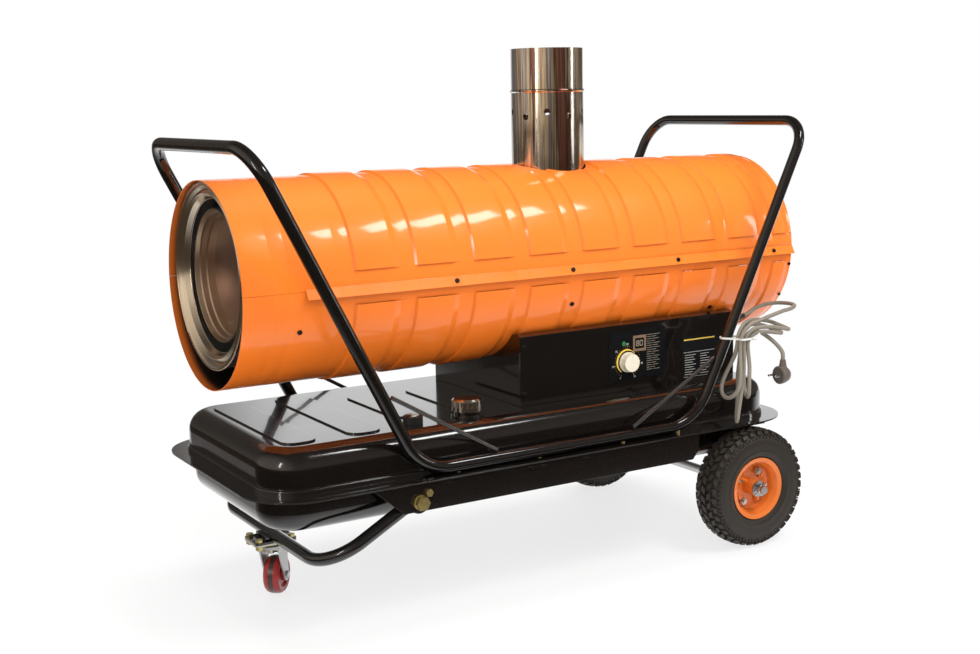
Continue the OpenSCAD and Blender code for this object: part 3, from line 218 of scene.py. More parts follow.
def ramp_between(tree, factor, stops):
    """Colours that follow one another as a factor grows."""
    ramp = added(tree, "ShaderNodeValToRGB", {0: factor})
    while len(ramp.color_ramp.elements) < len(stops):
        ramp.color_ramp.elements.new(0.5)
    for element, (position, colour) in zip(ramp.color_ramp.elements, stops):
        element.position = position
        element.color = (*colour, 1)
    return ramp.outputs["Color"]


def two_colours(tree, share, first, second):
    """One colour that gives way to a second as a share grows."""
    return added(tree, "ShaderNodeMix", {"Factor": share, "A": first, "B": second},
                 data_type="RGBA").outputs["Result"]


def socket_kind(value):
    """The kind of socket that holds a count, a number, a vector or a colour."""
    if isinstance(value, int):
        return "NodeSocketInt"
    if isinstance(value, float):
        return "NodeSocketFloat"
    return "NodeSocketVector" if len(value) == 3 else "NodeSocketColor"


def named_inputs(tree, inputs):
    """Gives a tree its named inputs, and says by which identifier each is reached."""
    found = {}
    for label, value in inputs.items():
        socket = tree.interface.new_socket(label, in_out="INPUT", socket_type=socket_kind(value))
        socket.default_value = value
        found[label] = socket.identifier
    return found


# Shared surface effects

def new_group(name, inputs, outputs):
    tree = bpy.data.node_groups.new(name, "ShaderNodeTree")
    named_inputs(tree, inputs)
    for label, kind in outputs.items():
        tree.interface.new_socket(label, in_out="OUTPUT", socket_type=kind)
    return tree, added(tree, "NodeGroupInput").outputs, added(tree, "NodeGroupOutput")


def colour_drift_group():
    """Base colour that drifts softly over the surface, with fine dust that has settled on upward faces."""
    tree, given, out = new_group("colour_drift", {"Colour": (0.5, 0.5, 0.5, 1), "Drift": 0.1, "Scale": 8.0,
                                                  "Dust": 0.05, "Dust Colour": (0.45, 0.42, 0.38, 1)},
                                 {"Colour": "NodeSocketColor", "Dust Mask": "NodeSocketFloat"})
    place = object_place(tree)
    soft = cloud(tree, place, given["Scale"], detail=4.0, rough=0.55)
    shade = maths(tree, "MULTIPLY_ADD", maths(tree, "SUBTRACT", soft, 0.5), given["Drift"], 1.0)
    drifted = added(tree, "ShaderNodeVectorMath", {0: given["Colour"], "Scale": shade}, operation="SCALE")
    facing = split(tree, added(tree, "ShaderNodeNewGeometry").outputs["Normal"])
    upward = ramped(tree, facing["Z"], 0.2, 1.0, kind="LINEAR")
    specks = ramped(tree, cloud(tree, place, 240.0, detail=3.0, rough=0.7), 0.52, 0.72, kind="LINEAR")
    patches = cloud(tree, place, 9.0, detail=2.0, rough=0.5)
    settled = maths(tree, "MULTIPLY", upward, patches)
    dusty = maths(tree, "MULTIPLY", maths(tree, "MULTIPLY_ADD", specks, 0.8, 0.2), given["Dust"])
    mask = maths(tree, "MULTIPLY", settled, dusty)
    colour = two_colours(tree, mask, drifted.outputs[0], given["Dust Colour"])
    fill(tree, out, {"Colour": colour, "Dust Mask": mask})
    return tree


def gloss_drift_group():
    """Roughness that drifts with faint wiping marks."""
    tree, given, out = new_group("gloss_drift", {"Roughness": 0.4, "Drift": 0.08, "Scale": 14.0,
                                                 "Dust Mask": 0.0}, {"Roughness": "NodeSocketFloat"})
    stretched = added(tree, "ShaderNodeMapping", {"Vector": object_place(tree), "Scale": (1.0, 2.4, 3.1)})
    soft = cloud(tree, stretched.outputs[0], given["Scale"], detail=5.0, rough=0.62)
    wiped = maths(tree, "MULTIPLY_ADD", maths(tree, "SUBTRACT", soft, 0.5), given["Drift"],
                  given["Roughness"])
    dusty = maths(tree, "MULTIPLY_ADD", given["Dust Mask"], 0.6, wiped)
    limited = added(tree, "ShaderNodeClamp", {"Value": dusty, "Min": 0.02})
    fill(tree, out, {"Roughness": limited.outputs[0]})
    return tree


def grain_group():
    """Bumps of a paint film, a moulding or a casting, on top of the slow waves of thin sheet."""
    tree, given, out = new_group("grain", {"Grain Scale": 300.0, "Grain Height": 0.00003, "Wave Scale": 5.0,
                                           "Wave Height": 0.0, "Edge": 0.0006},
                                 {"Normal": "NodeSocketVector"})
    place = object_place(tree)
    rounded = added(tree, "ShaderNodeBevel", {"Radius": given["Edge"]}, samples=4)
    waves = added(tree, "ShaderNodeBump", {"Distance": given["Wave Height"], "Normal": rounded.outputs[0],
                                           "Height": cloud(tree, place, given["Wave Scale"], 1.5, 0.4)})
    fine = added(tree, "ShaderNodeBump", {"Distance": given["Grain Height"], "Normal": waves.outputs[0],
                                          "Height": cloud(tree, place, given["Grain Scale"], 2.0, 0.5)})
    fill(tree, out, {"Normal": fine.outputs[0]})
    return tree


def turning_group():
    """Fine circular lines of spun or turned metal, about a line through a point."""
    tree, given, out = new_group("turning_lines", {"Centre": (0, 0, 0), "Keep": (0, 1, 1), "Pitch": 900.0,
                                                   "Depth": 0.00004},
                                 {"Lines": "NodeSocketFloat", "Normal": "NodeSocketVector",
                                  "Radius": "NodeSocketFloat"})
    centred = vector_maths(tree, "SUBTRACT", object_place(tree), given["Centre"])
    far = vector_maths(tree, "LENGTH", vector_maths(tree, "MULTIPLY", centred, given["Keep"]))
    lines = added(tree, "ShaderNodeTexNoise", {"W": far, "Scale": given["Pitch"], "Detail": 6.0,
                                               "Roughness": 0.7}, noise_dimensions="1D").outputs["Fac"]
    bump = added(tree, "ShaderNodeBump", {"Distance": given["Depth"], "Height": lines})
    fill(tree, out, {"Lines": lines, "Normal": bump.outputs[0], "Radius": far})
    return tree


COLOUR_DRIFT = colour_drift_group()
GLOSS_DRIFT = gloss_drift_group()
GRAIN = grain_group()
TURNING = turning_group()


def finish(name, colour, roughness, metallic=0.0, coat=0.0, coat_roughness=0.03, specular=0.5, drift=0.08,
           drift_scale=8.0, dust=0.0, gloss_change=0.06, gloss_scale=14.0, grain=(300.0, 0.00002),
           wave=(5.0, 0.0), edge=0.0006):
    """A material whose colour, gloss and surface all vary. Its groups are named drift, gloss and rough."""
    material = bpy.data.materials.new(name)
    material.use_nodes = True
    tree = material.node_tree
    shader = tree.nodes["Principled BSDF"]
    drifting = added(tree, "ShaderNodeGroup", {"Colour": (*colour, 1), "Drift": drift, "Scale": drift_scale,
                                               "Dust": dust}, node_tree=COLOUR_DRIFT, name="drift")
    gloss = added(tree, "ShaderNodeGroup", {"Roughness": roughness, "Drift": gloss_change,
                                            "Scale": gloss_scale, "Dust Mask": drifting.outputs["Dust Mask"]},
                  node_tree=GLOSS_DRIFT, name="gloss")
    rough = added(tree, "ShaderNodeGroup", {"Grain Scale": grain[0], "Grain Height": grain[1],
                                            "Wave Scale": wave[0], "Wave Height": wave[1], "Edge": edge},
                  node_tree=GRAIN, name="rough")
    fill(tree, shader, {"Base Color": drifting.outputs["Colour"], "Metallic": metallic,
                        "Roughness": gloss.outputs["Roughness"], "Specular IOR Level": specular,
                        "Coat Weight": coat, "Coat Roughness": coat_roughness,
                        "Normal": rough.outputs["Normal"]})
    if coat:
        fill(tree, shader, {"Coat Normal": rough.outputs["Normal"]})
    material.diffuse_color = (*colour, 1)
    return material


def brushed_round(name, colour, roughness, pitch, depth=0.00003, spread=0.12):
    """Metal spun about the barrel's own line: circles in its gloss, colour and surface."""
    material = finish(name, colour, roughness, metallic=1.0, drift=0.1, gloss_change=0.08)
    tree = material.node_tree
    lines = added(tree, "ShaderNodeGroup", {"Centre": (0, 0, BARREL_Z * MM), "Keep": (0, 1, 1),
                                            "Pitch": pitch, "Depth": depth}, node_tree=TURNING, name="lines")
    rough = maths(tree, "MULTIPLY_ADD", maths(tree, "SUBTRACT", lines.outputs["Lines"], 0.5), spread,
                  tree.nodes["gloss"].outputs["Roughness"])
    fill(tree, tree.nodes["Principled BSDF"], {"Roughness": rough, "Normal": lines.outputs["Normal"]})
    return material


# Finishes of this heater

orange_paint = finish("orange_paint", (0.87, 0.187, 0.016), 0.42, coat=0.9, coat_roughness=0.1, specular=0.25,
                      drift=0.06, drift_scale=3.0, dust=0.02, gloss_change=0.06, grain=(420.0, 0.000006),
                      wave=(7.0, 0.0011), edge=0.0012)
black_gloss = finish("black_gloss", (0.0045, 0.0035, 0.003), 0.16, coat=1.0, coat_roughness=0.025, drift=0.3,
                     dust=0.02, gloss_change=0.07, grain=(380.0, 0.000012), wave=(9.0, 0.0004), edge=0.0012)
# the braces' black paint made a lighter grey metal: a painted sheen, so the rods show as grey lines
brace_sheen_grey = finish("brace_sheen_grey", (0.13, 0.125, 0.12), 0.26, metallic=0.85, drift=0.2, dust=0.04, edge=0.0005)
tube_gloss = finish("tube_gloss", (0.004, 0.0035, 0.0032), 0.14, coat=0.8, coat_roughness=0.02,
                    drift=0.3, dust=0.01, gloss_change=0.08, grain=(300.0, 0.00001), edge=0.0008)
dark_enamel = finish("dark_enamel", (0.045, 0.048, 0.055), 0.42, coat=0.2, drift=0.2, grain=(260.0, 0.00003))
wire_coating = finish("wire_coating", (0.012, 0.012, 0.012), 0.3, coat=0.4, drift=0.2, grain=(500.0, 0.00002),
                      edge=0.0003)
screw_black = finish("screw_black", (0.02, 0.017, 0.015), 0.38, metallic=0.7, drift=0.4, drift_scale=90.0,
                     grain=(900.0, 0.00001), edge=0.0004)
fork_zinc = finish("fork_zinc", (0.55, 0.55, 0.54), 0.34, metallic=0.85, drift=0.25, drift_scale=60.0,
                   gloss_change=0.2, gloss_scale=70.0, grain=(350.0, 0.00003), edge=0.0008)
zinc_plate = finish("zinc_plate", (0.6, 0.57, 0.46), 0.3, metallic=0.9, drift=0.3, drift_scale=50.0,
                    gloss_change=0.18, gloss_scale=60.0, grain=(400.0, 0.00002), edge=0.0008)
galvanised = finish("galvanised", (0.52, 0.52, 0.5), 0.42, metallic=0.9, drift=0.35, drift_scale=26.0,
                    gloss_change=0.25, gloss_scale=30.0, grain=(160.0, 0.00003))
heat_steel = finish("heat_steel", (0.33, 0.3, 0.28), 0.42, metallic=0.9, drift=0.5, drift_scale=12.0,
                    gloss_change=0.2, grain=(200.0, 0.00004))
cast_alloy = finish("cast_alloy", (0.42, 0.43, 0.44), 0.5, metallic=0.85, drift=0.2, drift_scale=60.0,
                    grain=(420.0, 0.00012))
turned_steel = finish("turned_steel", (0.58, 0.58, 0.58), 0.26, metallic=1.0, drift=0.12, drift_scale=80.0,
                      grain=(700.0, 0.00001))
brass = finish("brass", (0.62, 0.43, 0.16), 0.28, metallic=1.0, drift=0.2, drift_scale=70.0)
copper = finish("copper", (0.62, 0.29, 0.17), 0.3, metallic=1.0, drift=0.3, drift_scale=40.0)
yellow_zinc = finish("yellow_zinc", (0.68, 0.55, 0.23), 0.3, metallic=0.95, drift=0.45, drift_scale=110.0,
                     gloss_change=0.15, gloss_scale=120.0, edge=0.0006)
fan_black = finish("fan_black", (0.02, 0.02, 0.021), 0.5, drift=0.2, grain=(600.0, 0.00004))
nylon_black = finish("nylon_black", (0.014, 0.014, 0.014), 0.48, drift=0.2, grain=(900.0, 0.00003))
panel_film = finish("panel_film", (0.006, 0.006, 0.007), 0.2, coat=0.15, specular=0.25, drift=0.2,
                    grain=(900.0, 0.00001), edge=0.0003)
plate_film = finish("plate_film", (0.008, 0.008, 0.009), 0.22, coat=0.15, specular=0.25, drift=0.25,
                    grain=(900.0, 0.00001), edge=0.0003)
plate_line = finish("plate_line", (0.62, 0.6, 0.55), 0.4, drift=0.15, drift_scale=60.0, edge=0.0001)
amber_line = finish("amber_line", (0.75, 0.5, 0.06), 0.4, drift=0.15, drift_scale=60.0, edge=0.0001)
dim_line = finish("dim_line", (0.3, 0.27, 0.2), 0.45, drift=0.25, drift_scale=90.0, edge=0.0001)
digit_grey = finish("digit_grey", (0.42, 0.33, 0.25), 0.4, drift=0.1, drift_scale=90.0, edge=0.0001)
moulded_grey = finish("moulded_grey", (0.42, 0.41, 0.38), 0.45, drift=0.12, grain=(700.0, 0.00004))
display_frame = finish("display_frame", (0.2, 0.125, 0.075), 0.3, drift=0.15, grain=(800.0, 0.00003))
cream_knob = finish("cream_knob", (0.76, 0.7, 0.56), 0.28, coat=0.35, coat_roughness=0.12, drift=0.08,
                    drift_scale=30.0, grain=(500.0, 0.00002), edge=0.0008)
green_lens = finish("green_lens", (0.012, 0.17, 0.045), 0.15, coat=0.8, drift=0.1, edge=0.0003)
white_nylon = finish("white_nylon", (0.72, 0.71, 0.66), 0.42, drift=0.1, grain=(900.0, 0.00003), edge=0.0004)
red_pointer = finish("red_pointer", (0.55, 0.03, 0.015), 0.35, drift=0.1)
cord_sheath = finish("cord_sheath", (0.22, 0.195, 0.155), 0.46, specular=0.4, drift=0.22, drift_scale=22.0,
                     gloss_change=0.12, gloss_scale=40.0, grain=(800.0, 0.00006), edge=0.0001)
plug_grey = finish("plug_grey", (0.11, 0.094, 0.074), 0.42, drift=0.16, drift_scale=30.0,
                   grain=(620.0, 0.00005), edge=0.0006)
plug_face = finish("plug_face", (0.09, 0.08, 0.066), 0.5, drift=0.2, grain=(620.0, 0.00005))
bright_cap = finish("bright_cap", (0.66, 0.62, 0.55), 0.16, metallic=1.0, drift=0.15, drift_scale=60.0,
                    gloss_change=0.1, edge=0.0008)
rim_orange = finish("rim_orange", (0.66, 0.15, 0.018), 0.32, coat=0.4, coat_roughness=0.12, drift=0.12,
                    drift_scale=14.0, dust=0.1, grain=(360.0, 0.00002), edge=0.0009)
tyre_rubber = finish("tyre_rubber", (0.022, 0.017, 0.0125), 0.5, specular=0.45, drift=0.35, drift_scale=30.0,
                     dust=0.25, gloss_change=0.16, gloss_scale=30.0, grain=(340.0, 0.00012), edge=0.0007)

outlet_steel = brushed_round("outlet_steel", (0.9, 0.79, 0.62), 0.2, pitch=165.0, depth=0.0002)


def dish_finish():
    """Pressed steel dish, browned by heat towards its middle."""
    material = brushed_round("browned_dish", (0.34, 0.22, 0.17), 0.34, pitch=260.0, spread=0.16)
    tree = material.node_tree
    uneven = maths(tree, "MULTIPLY_ADD", cloud(tree, object_place(tree), 9.0, detail=4.0, rough=0.6), 0.05,
                   tree.nodes["lines"].outputs["Radius"])
    outward = ramped(tree, uneven, 0.02, 0.19, kind="LINEAR")
    tint = ramp_between(tree, outward, [(0.0, (0.5, 0.33, 0.28)), (0.45, (0.62, 0.42, 0.35)),
                                        (0.75, (0.62, 0.5, 0.38)), (1.0, (0.85, 0.74, 0.56))])
    fill(tree, tree.nodes["drift"], {"Colour": tint})
    return material


def flue_finish():
    """Bright rolled steel, with long stripes along the pipe painted into its colour: painted reflections,
    dark, gold and white, of the surroundings.
    """
    material = finish("flue_steel", (0.7, 0.66, 0.6), 0.16, metallic=1.0, gloss_change=0.05, gloss_scale=20.0,
                      grain=(240.0, 0.000004), wave=(14.0, 0.0004))
    tree = material.node_tree
    long = added(tree, "ShaderNodeMapping", {"Vector": object_place(tree), "Scale": (30.0, 30.0, 0.7)})
    painted_reflection_stripes = cloud(tree, long.outputs[0], 1.0, detail=5.0, rough=0.62)
    # the near-black, gold and white stops are painted reflections, not marks in the steel
    tint = ramp_between(tree, painted_reflection_stripes, [(0.3, (0.1, 0.07, 0.07)), (0.4, (0.55, 0.26, 0.18)),
                                        (0.46, (0.16, 0.1, 0.09)), (0.52, (1.0, 0.84, 0.58)),
                                        (0.57, (0.34, 0.3, 0.3)), (0.66, (1, 1, 1))])
    fill(tree, tree.nodes["drift"], {"Colour": tint})
    return material


def swollen_bands(material):
    """The sheet between two pressed steps bulges a little, so each band mirrors the lamps by itself."""
    tree = material.node_tree
    along = maths(tree, "ADD", split(tree, object_place(tree))["X"], -(FROM_RIM + BAND_START) * MM)
    share = maths(tree, "FRACT", maths(tree, "DIVIDE", along, BAND_PITCH * MM))
    step = BAND_LEN / BAND_PITCH
    on_band = maths(tree, "MINIMUM", maths(tree, "DIVIDE", share, step), 1.0)
    past = maths(tree, "SUBTRACT", share, step)
    off_band = maths(tree, "MAXIMUM", maths(tree, "DIVIDE", past, 1 - step), 0.0)
    swell = maths(tree, "SINE", maths(tree, "MULTIPLY", on_band, math.pi))
    less = maths(tree, "MULTIPLY", maths(tree, "SINE", maths(tree, "MULTIPLY", off_band, math.pi)), 0.3)
    bump = added(tree, "ShaderNodeBump", {"Distance": 0.0016, "Height": maths(tree, "ADD", swell, less),
                                          "Normal": tree.nodes["rough"].outputs["Normal"]}).outputs[0]
    fill(tree, tree.nodes["Principled BSDF"], {"Normal": bump, "Coat Normal": bump})


def painted_shade_inside(material):
    """Painted shade: the barrel's inner faces turn near black past its painted edge, where the inside lies in
    shadow.
    """
    tree = material.node_tree
    place = added(tree, "ShaderNodeTexCoord").outputs
    spot, facing = split(tree, place["Object"]), split(tree, place["Normal"])
    height = maths(tree, "SUBTRACT", spot["Z"], BARREL_Z * MM)
    outward = maths(tree, "ADD", maths(tree, "MULTIPLY", facing["Y"], spot["Y"]),
                    maths(tree, "MULTIPLY", facing["Z"], height))
    inner_face = ramped(tree, outward, -0.04, -0.12)
    past_edge = ramped(tree, spot["X"], -0.624, -0.604, low=0.45)
    # near-black painted shade on the inner faces, blended in from the front rim inwards
    shade = two_colours(tree, maths(tree, "MULTIPLY", inner_face, past_edge),
                        tree.nodes["drift"].outputs["Colour"], (0.014, 0.01, 0.008, 1))
    fill(tree, tree.nodes["Principled BSDF"], {"Base Color": shade})


CASTOR_PIN_X, CASTOR_TRAIL, CASTOR_AXLE_Z = 108.0, 24.0, 37.5
CASTOR_TURN = math.radians(47)


def castor_finish():
    """Red castor wheel with a dark worn band round its middle."""
    red, worn = (0.36, 0.018, 0.014), (0.05, 0.02, 0.018)
    material = finish("castor_red", red, 0.3, coat=0.35, coat_roughness=0.15, drift=0.2, drift_scale=40.0,
                      dust=0.15, grain=(400.0, 0.00004))
    tree = material.node_tree
    hub = at(CASTOR_PIN_X + CASTOR_TRAIL * math.cos(CASTOR_TURN), CASTOR_TRAIL * math.sin(CASTOR_TURN),
             CASTOR_AXLE_Z)
    centred = added(tree, "ShaderNodeMapping", {"Vector": object_place(tree), "Location": -hub}).outputs[0]
    axle_way = (-math.sin(CASTOR_TURN), math.cos(CASTOR_TURN), 0)
    across = maths(tree, "ABSOLUTE", vector_maths(tree, "DOT_PRODUCT", centred, axle_way))
    middle = ramped(tree, across, 0.0042, 0.0058, 1.0, 0.0, kind="LINEAR")
    tread = ramped(tree, vector_maths(tree, "LENGTH", centred), 0.0345, 0.036, kind="LINEAR")
    band = two_colours(tree, maths(tree, "MULTIPLY", middle, tread), (*red, 1), (*worn, 1))
    fill(tree, tree.nodes["drift"], {"Colour": band})
    return material


def clear_window(name, colour, roughness):
    material = finish(name, colour, roughness, drift=0.05)
    tree = material.node_tree
    fill(tree, tree.nodes["Principled BSDF"], {"Transmission Weight": 1.0, "IOR": 1.45})
    return material


dish_brown = dish_finish()
flue_steel = flue_finish()
swollen_bands(orange_paint)
# painted shade inside the barrel's mouth
painted_shade_inside(orange_paint)
castor_red = castor_finish()
gauge_clear = clear_window("gauge_clear", (0.95, 0.9, 0.75), 0.04)

DRESS = {
    orange_paint: "upper_casing lower_casing",
    rim_orange: "left_rim right_rim",
    outlet_steel: "outlet_ring",
    galvanised: "heat_shield",
    heat_steel: "exchanger_drum combustion_chamber",
    dish_brown: "exchanger_front",
    flue_steel: "flue_pipe",
    cast_alloy: "burner_head fuel_pump",
    brass: "fuel_nozzle float_arm",
    copper: "fuel_pipes",
    dark_enamel: "fan_motor motor_bracket ignition_transformer",
    turned_steel: "motor_shaft axle axle_washers",
    fan_black: "fan",
    wire_coating: "fan_guard",
    screw_black: "casing_screws",
    black_gloss: "control_box control_cover tank_upper tank_lower filler_neck left_rail right_rail "
                 "axle_hangers",
    tube_gloss: "front_handle rear_handle castor_carrier",
    brace_sheen_grey: "handle_braces",
    panel_film: "panel_plate",
    plate_film: "rating_plate",
    moulded_grey: "thermostat_body",
    cream_knob: "thermostat_knob",
    display_frame: "display_module",
    green_lens: "power_lamp",
    nylon_black: "cord_gland gauge_body",
    bright_cap: "fuel_cap",
    gauge_clear: "gauge_lens",
    red_pointer: "gauge_pointer",
    yellow_zinc: "drain_plug frame_bolts castor_bolts",
    zinc_plate: "castor_plate brake_pedal",
    fork_zinc: "castor_fork",
    castor_red: "castor_wheel",
    white_nylon: "cable_tie",
    cord_sheath: "power_cord cord_hank",
    plug_grey: "power_plug",
    tyre_rubber: "left_tyre right_tyre",
}
for material, names in DRESS.items():
    for name in names.split():
        slots = NODES[name].material_slots
        for slot in slots:
            slot.material = material
        if not slots:
            NODES[name].data.materials.append(material)


# Cord, tied in a hank

def smooth_step(t):
    t = max(0.0, min(1.0, t))
    return t * t * (3 - 2 * t)


CORD_D = 8.5
HANK = (1046.0, -290.0, 437.0)          # the tied waist
STRAND, WAIST_R, TIP_R = 9.8, 26.0, 26.0
LEAD_IN = [(1143, -155, 468), (1152, -155, 468), (1161, -155, 468), (1178, -157, 474), (1196, -163, 485),
           (1214, -175, 493), (1230, -195, 497), (1238, -221, 498), (1230, -247, 498), (1208, -266, 497),
           (1186, -276, 496.5), (1168, -281, 496), (1159, -283, 495), (1150, -285, 494), (1141, -287, 493),
           (1132, -289, 492), (1110, -293, 489), (1086, -294.9, 484)]
LEAD_OUT = [(1092, -287, 460), (1106, -297, 450), (1116, -313, 436), (1121, -326, 422), (1121, -330, 412),
            (1121, -330, 403)]
# hanging loops: how far down, the tip's shift along X and Y, and the tip's turn in degrees
HANGING = [(108, (-36, 6), 0), (160, (-12, 2), 38), (110, (10, -4), 30)]
# standing loops: how far out, and how far the tip droops
STANDING = [(82, 16), (62, 12)]
BEND_X = HANK[0] + STRAND + WAIST_R
QUARTERS = (0.25, 0.5, 0.75, 1.0)
TIP_TURNS = (36, 72, 108, 144)          # degrees round the tip of a loop
QUARTER_TURN = 1.57                     # radians


def half_width(t):
    return STRAND / 2 + (TIP_R - STRAND / 2) * smooth_step(t)


def column_radius(column):
    return WAIST_R + STRAND * (2 - column)


def waist_point(column, y, angle):
    """Where a strand passes the hank's tied waist, at an angle in degrees."""
    r, a = column_radius(column), math.radians(angle)
    return (BEND_X - r * math.cos(a), HANK[1] + y, HANK[2] + r * math.sin(a))


def hang_point(column, drop, width):
    """A point of a hanging loop, which swings and turns more the further it drops."""
    reach, shift, turn = HANGING[column]
    x0 = STRAND * (column - 1)
    q, f = (drop / reach) ** 1.4, smooth_step(drop / (reach - TIP_R))
    turn = math.radians(turn)
    return (HANK[0] + x0 + (shift[0] - x0) * q + f * math.sin(turn) * width,
            HANK[1] + shift[1] * q + (1 - f + f * math.cos(turn)) * width, HANK[2] - drop)


def hang_loop(column):
    run = HANGING[column][0] - TIP_R
    down = [hang_point(column, run * f, -half_width(f)) for f in QUARTERS]
    tip = [hang_point(column, run + TIP_R * math.sin(math.radians(a)), -TIP_R * math.cos(math.radians(a)))
           for a in TIP_TURNS]
    back = [hang_point(column, run * f, half_width(f)) for f in QUARTERS[::-1]]
    return down + tip + back


def stand_point(k, run, width, level):
    """A point of a standing loop, which droops the further it reaches."""
    reach, droop = STANDING[k]
    return (BEND_X + run, HANK[1] + width, HANK[2] + level - droop * (run / reach) ** 2)


def stand_side(k, side):
    column = k if side > 0 else k + 1
    r, run = column_radius(column), STANDING[k][0] - TIP_R
    arc = r * QUARTER_TURN
    bend = [waist_point(column, side * half_width(a / 90 * arc / (arc + run)), a) for a in (0, 25, 50, 75)]
    return bend + [stand_point(k, run * f, side * half_width((arc + run * f) / (arc + run)), r)
                   for f in (0.35, 1)]


def stand_loop(k):
    reach = STANDING[k][0] - TIP_R
    tip = [stand_point(k, reach + TIP_R * math.sin(math.radians(a)), TIP_R * math.cos(math.radians(a)),
                       column_radius(k) - STRAND * smooth_step(a / 180)) for a in TIP_TURNS]
    return stand_side(k, 1) + tip + stand_side(k, -1)[::-1]


CORD_ROUTE = [at(*p) for p in LEAD_IN + [waist_point(0, -STRAND / 2, a) for a in (68, 42, 20, 0)]
              + hang_loop(0) + stand_loop(0) + hang_loop(1) + stand_loop(1) + hang_loop(2)
              + [waist_point(2, STRAND / 2, a) for a in (0, 35, 70)] + LEAD_OUT]


def route_handle(i):
    n = len(CORD_ROUTE) - 1
    return (CORD_ROUTE[min(i + 1, n)] - CORD_ROUTE[max(i - 1, 0)]) / 6


def run_cord():
    curve = bpy.data.curves.new("mains_cord", "CURVE")
    curve.dimensions = "3D"
    curve.resolution_u = 8
    curve.bevel_depth = CORD_D / 2 * MM
    curve.bevel_resolution = 4
    curve.use_fill_caps = True
    spline = curve.splines.new("BEZIER")
    spline.bezier_points.add(len(CORD_ROUTE) - 1)
    for i, (point, place) in enumerate(zip(spline.bezier_points, CORD_ROUTE)):
        point.handle_left_type = point.handle_right_type = "FREE"
        point.co = place
        point.handle_left = place - route_handle(i)
        point.handle_right = place + route_handle(i)
    curve.materials.append(cord_sheath)
    return as_object("mains_cord", curve)


def route_between(i0, i1, steps=8):
    """Points on the cord's own curve between two of its route points."""
    found = []
    for i in range(i0, i1):
        a, b = CORD_ROUTE[i], CORD_ROUTE[i + 1]
        c, d = a + route_handle(i), b - route_handle(i + 1)
        for k in range(steps):
            t = k / steps
            found.append(a * (1 - t) ** 3 + c * 3 * t * (1 - t) ** 2 + d * 3 * t * t * (1 - t) + b * t ** 3)
    return found + [CORD_ROUTE[i1]]


# the boot's length, radius at the gland, loss of radius and ribs, in millimetres
BOOT_LEN, BOOT_R, BOOT_TAPER = 27, 6.9, 2.1
BOOT_COLLAR, BOOT_RIB, BOOT_RIB_PITCH, BOOT_FADE = 2, 0.7, 4.6, 40


def strain_boot():
    """Ribbed rubber boot that tapers from the gland along the cord."""
    line = route_between(0, 3)
    points, radii = [], []
    s = 0.0
    for place, ahead in zip(line, line[1:]):
        if s > BOOT_LEN:
            break
        rib = BOOT_RIB
        if s > BOOT_COLLAR:
            rib *= 0.5 + 0.5 * math.cos(2 * math.pi * s / BOOT_RIB_PITCH)
        points.append(place)
        radii.append((BOOT_R - BOOT_TAPER * s / BOOT_LEN + rib * (1 - s / BOOT_FADE)) * MM)
        s += (ahead - place).length / MM
    bm = bmesh.new()
    tube(bm, points, radii, sides=20)
    return from_bmesh("strain_boot", bm, nylon_black, 60)


PLUG_BODY = [(0, -12.4), (15.8, -12.4), (17.6, -12.0), (18.8, -10.6), (18.8, -3.6), (18.2, -2.6),
             (18.2, -1.4), (17.6, 0.0), (16.4, 5.0), (14.6, 9.5), (12.2, 12.4), (8.0, 13.0), (0, 13.0)]
PLUG_FACE = [(15.2, 0), (15.2, 0.5), (14.6, 0.55), (14.6, 0.15), (4.2, 0.15), (4.0, 0.5), (0, 0.5)]
PLUG_PIN = [(2.4, 0), (2.4, 17.6), (1.9, 18.8), (0, 19.0)]
PLUG_AT = (1121, -330, 372)
FACE_X, PIN_X, PIN_Y = -12.45, -12.0, 9.5        # from the plug's middle
NECK_LEN, NECK_R, NECK_TAPER, NECK_STEPS = 29.0, 10.6, 4.6, 26
NECK_RIBS, NECK_RIB, NECK_COLLAR, NECK_PLAIN = 6, 0.55, 0.5, 0.4


def plug_neck(centre):
    """The plug's grip, which tapers up to the cord and has ribs on its upper part."""
    points, radii = [], []
    for k in range(NECK_STEPS + 1):
        s = k / NECK_STEPS
        rib = NECK_COLLAR
        if s > NECK_PLAIN:
            rib = NECK_RIB * (0.5 + 0.5 * math.cos(2 * math.pi * NECK_RIBS * s))
        points.append(centre + Vector((0.4 * MM, 0, (2 + NECK_LEN * s) * MM)))
        radii.append((NECK_R - NECK_TAPER * smooth_step(s) + rib * (1 - 0.4 * s)) * MM)
    bm = bmesh.new()
    tube(bm, points, radii, sides=28)
    return from_bmesh("plug_neck", bm, plug_grey, 60)


def mains_plug():
    """Moulded two-pin plug: round body, tapered grip, face and pins, standing where the solid plug does."""
    centre = at(*PLUG_AT)
    bm = bmesh.new()
    lathe(bm, centre, (1, 0, 0), PLUG_BODY, steps=48)
    body = from_bmesh("plug_body", bm, plug_grey, 40)
    neck = plug_neck(centre)
    bm = bmesh.new()
    lathe(bm, centre + Vector((FACE_X * MM, 0, 0)), (-1, 0, 0), PLUG_FACE, steps=48)
    face = from_bmesh("plug_face", bm, plug_face, 40)
    bm = bmesh.new()
    for y in (-PIN_Y, PIN_Y):
        lathe(bm, centre + Vector((PIN_X * MM, y * MM, 0)), (-1, 0, 0), PLUG_PIN, steps=20)
    pins = from_bmesh("plug_pins", bm, turned_steel, 40)
    return [body, neck, face, pins]


mains_cord = run_cord()
boot = strain_boot()
plug = mains_plug()
for piece in [mains_cord, boot] + plug:
    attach(piece, "chassis")
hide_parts("power_cord", "cord_hank")
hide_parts("power_plug")


# Pieces that Geometry Nodes repeat

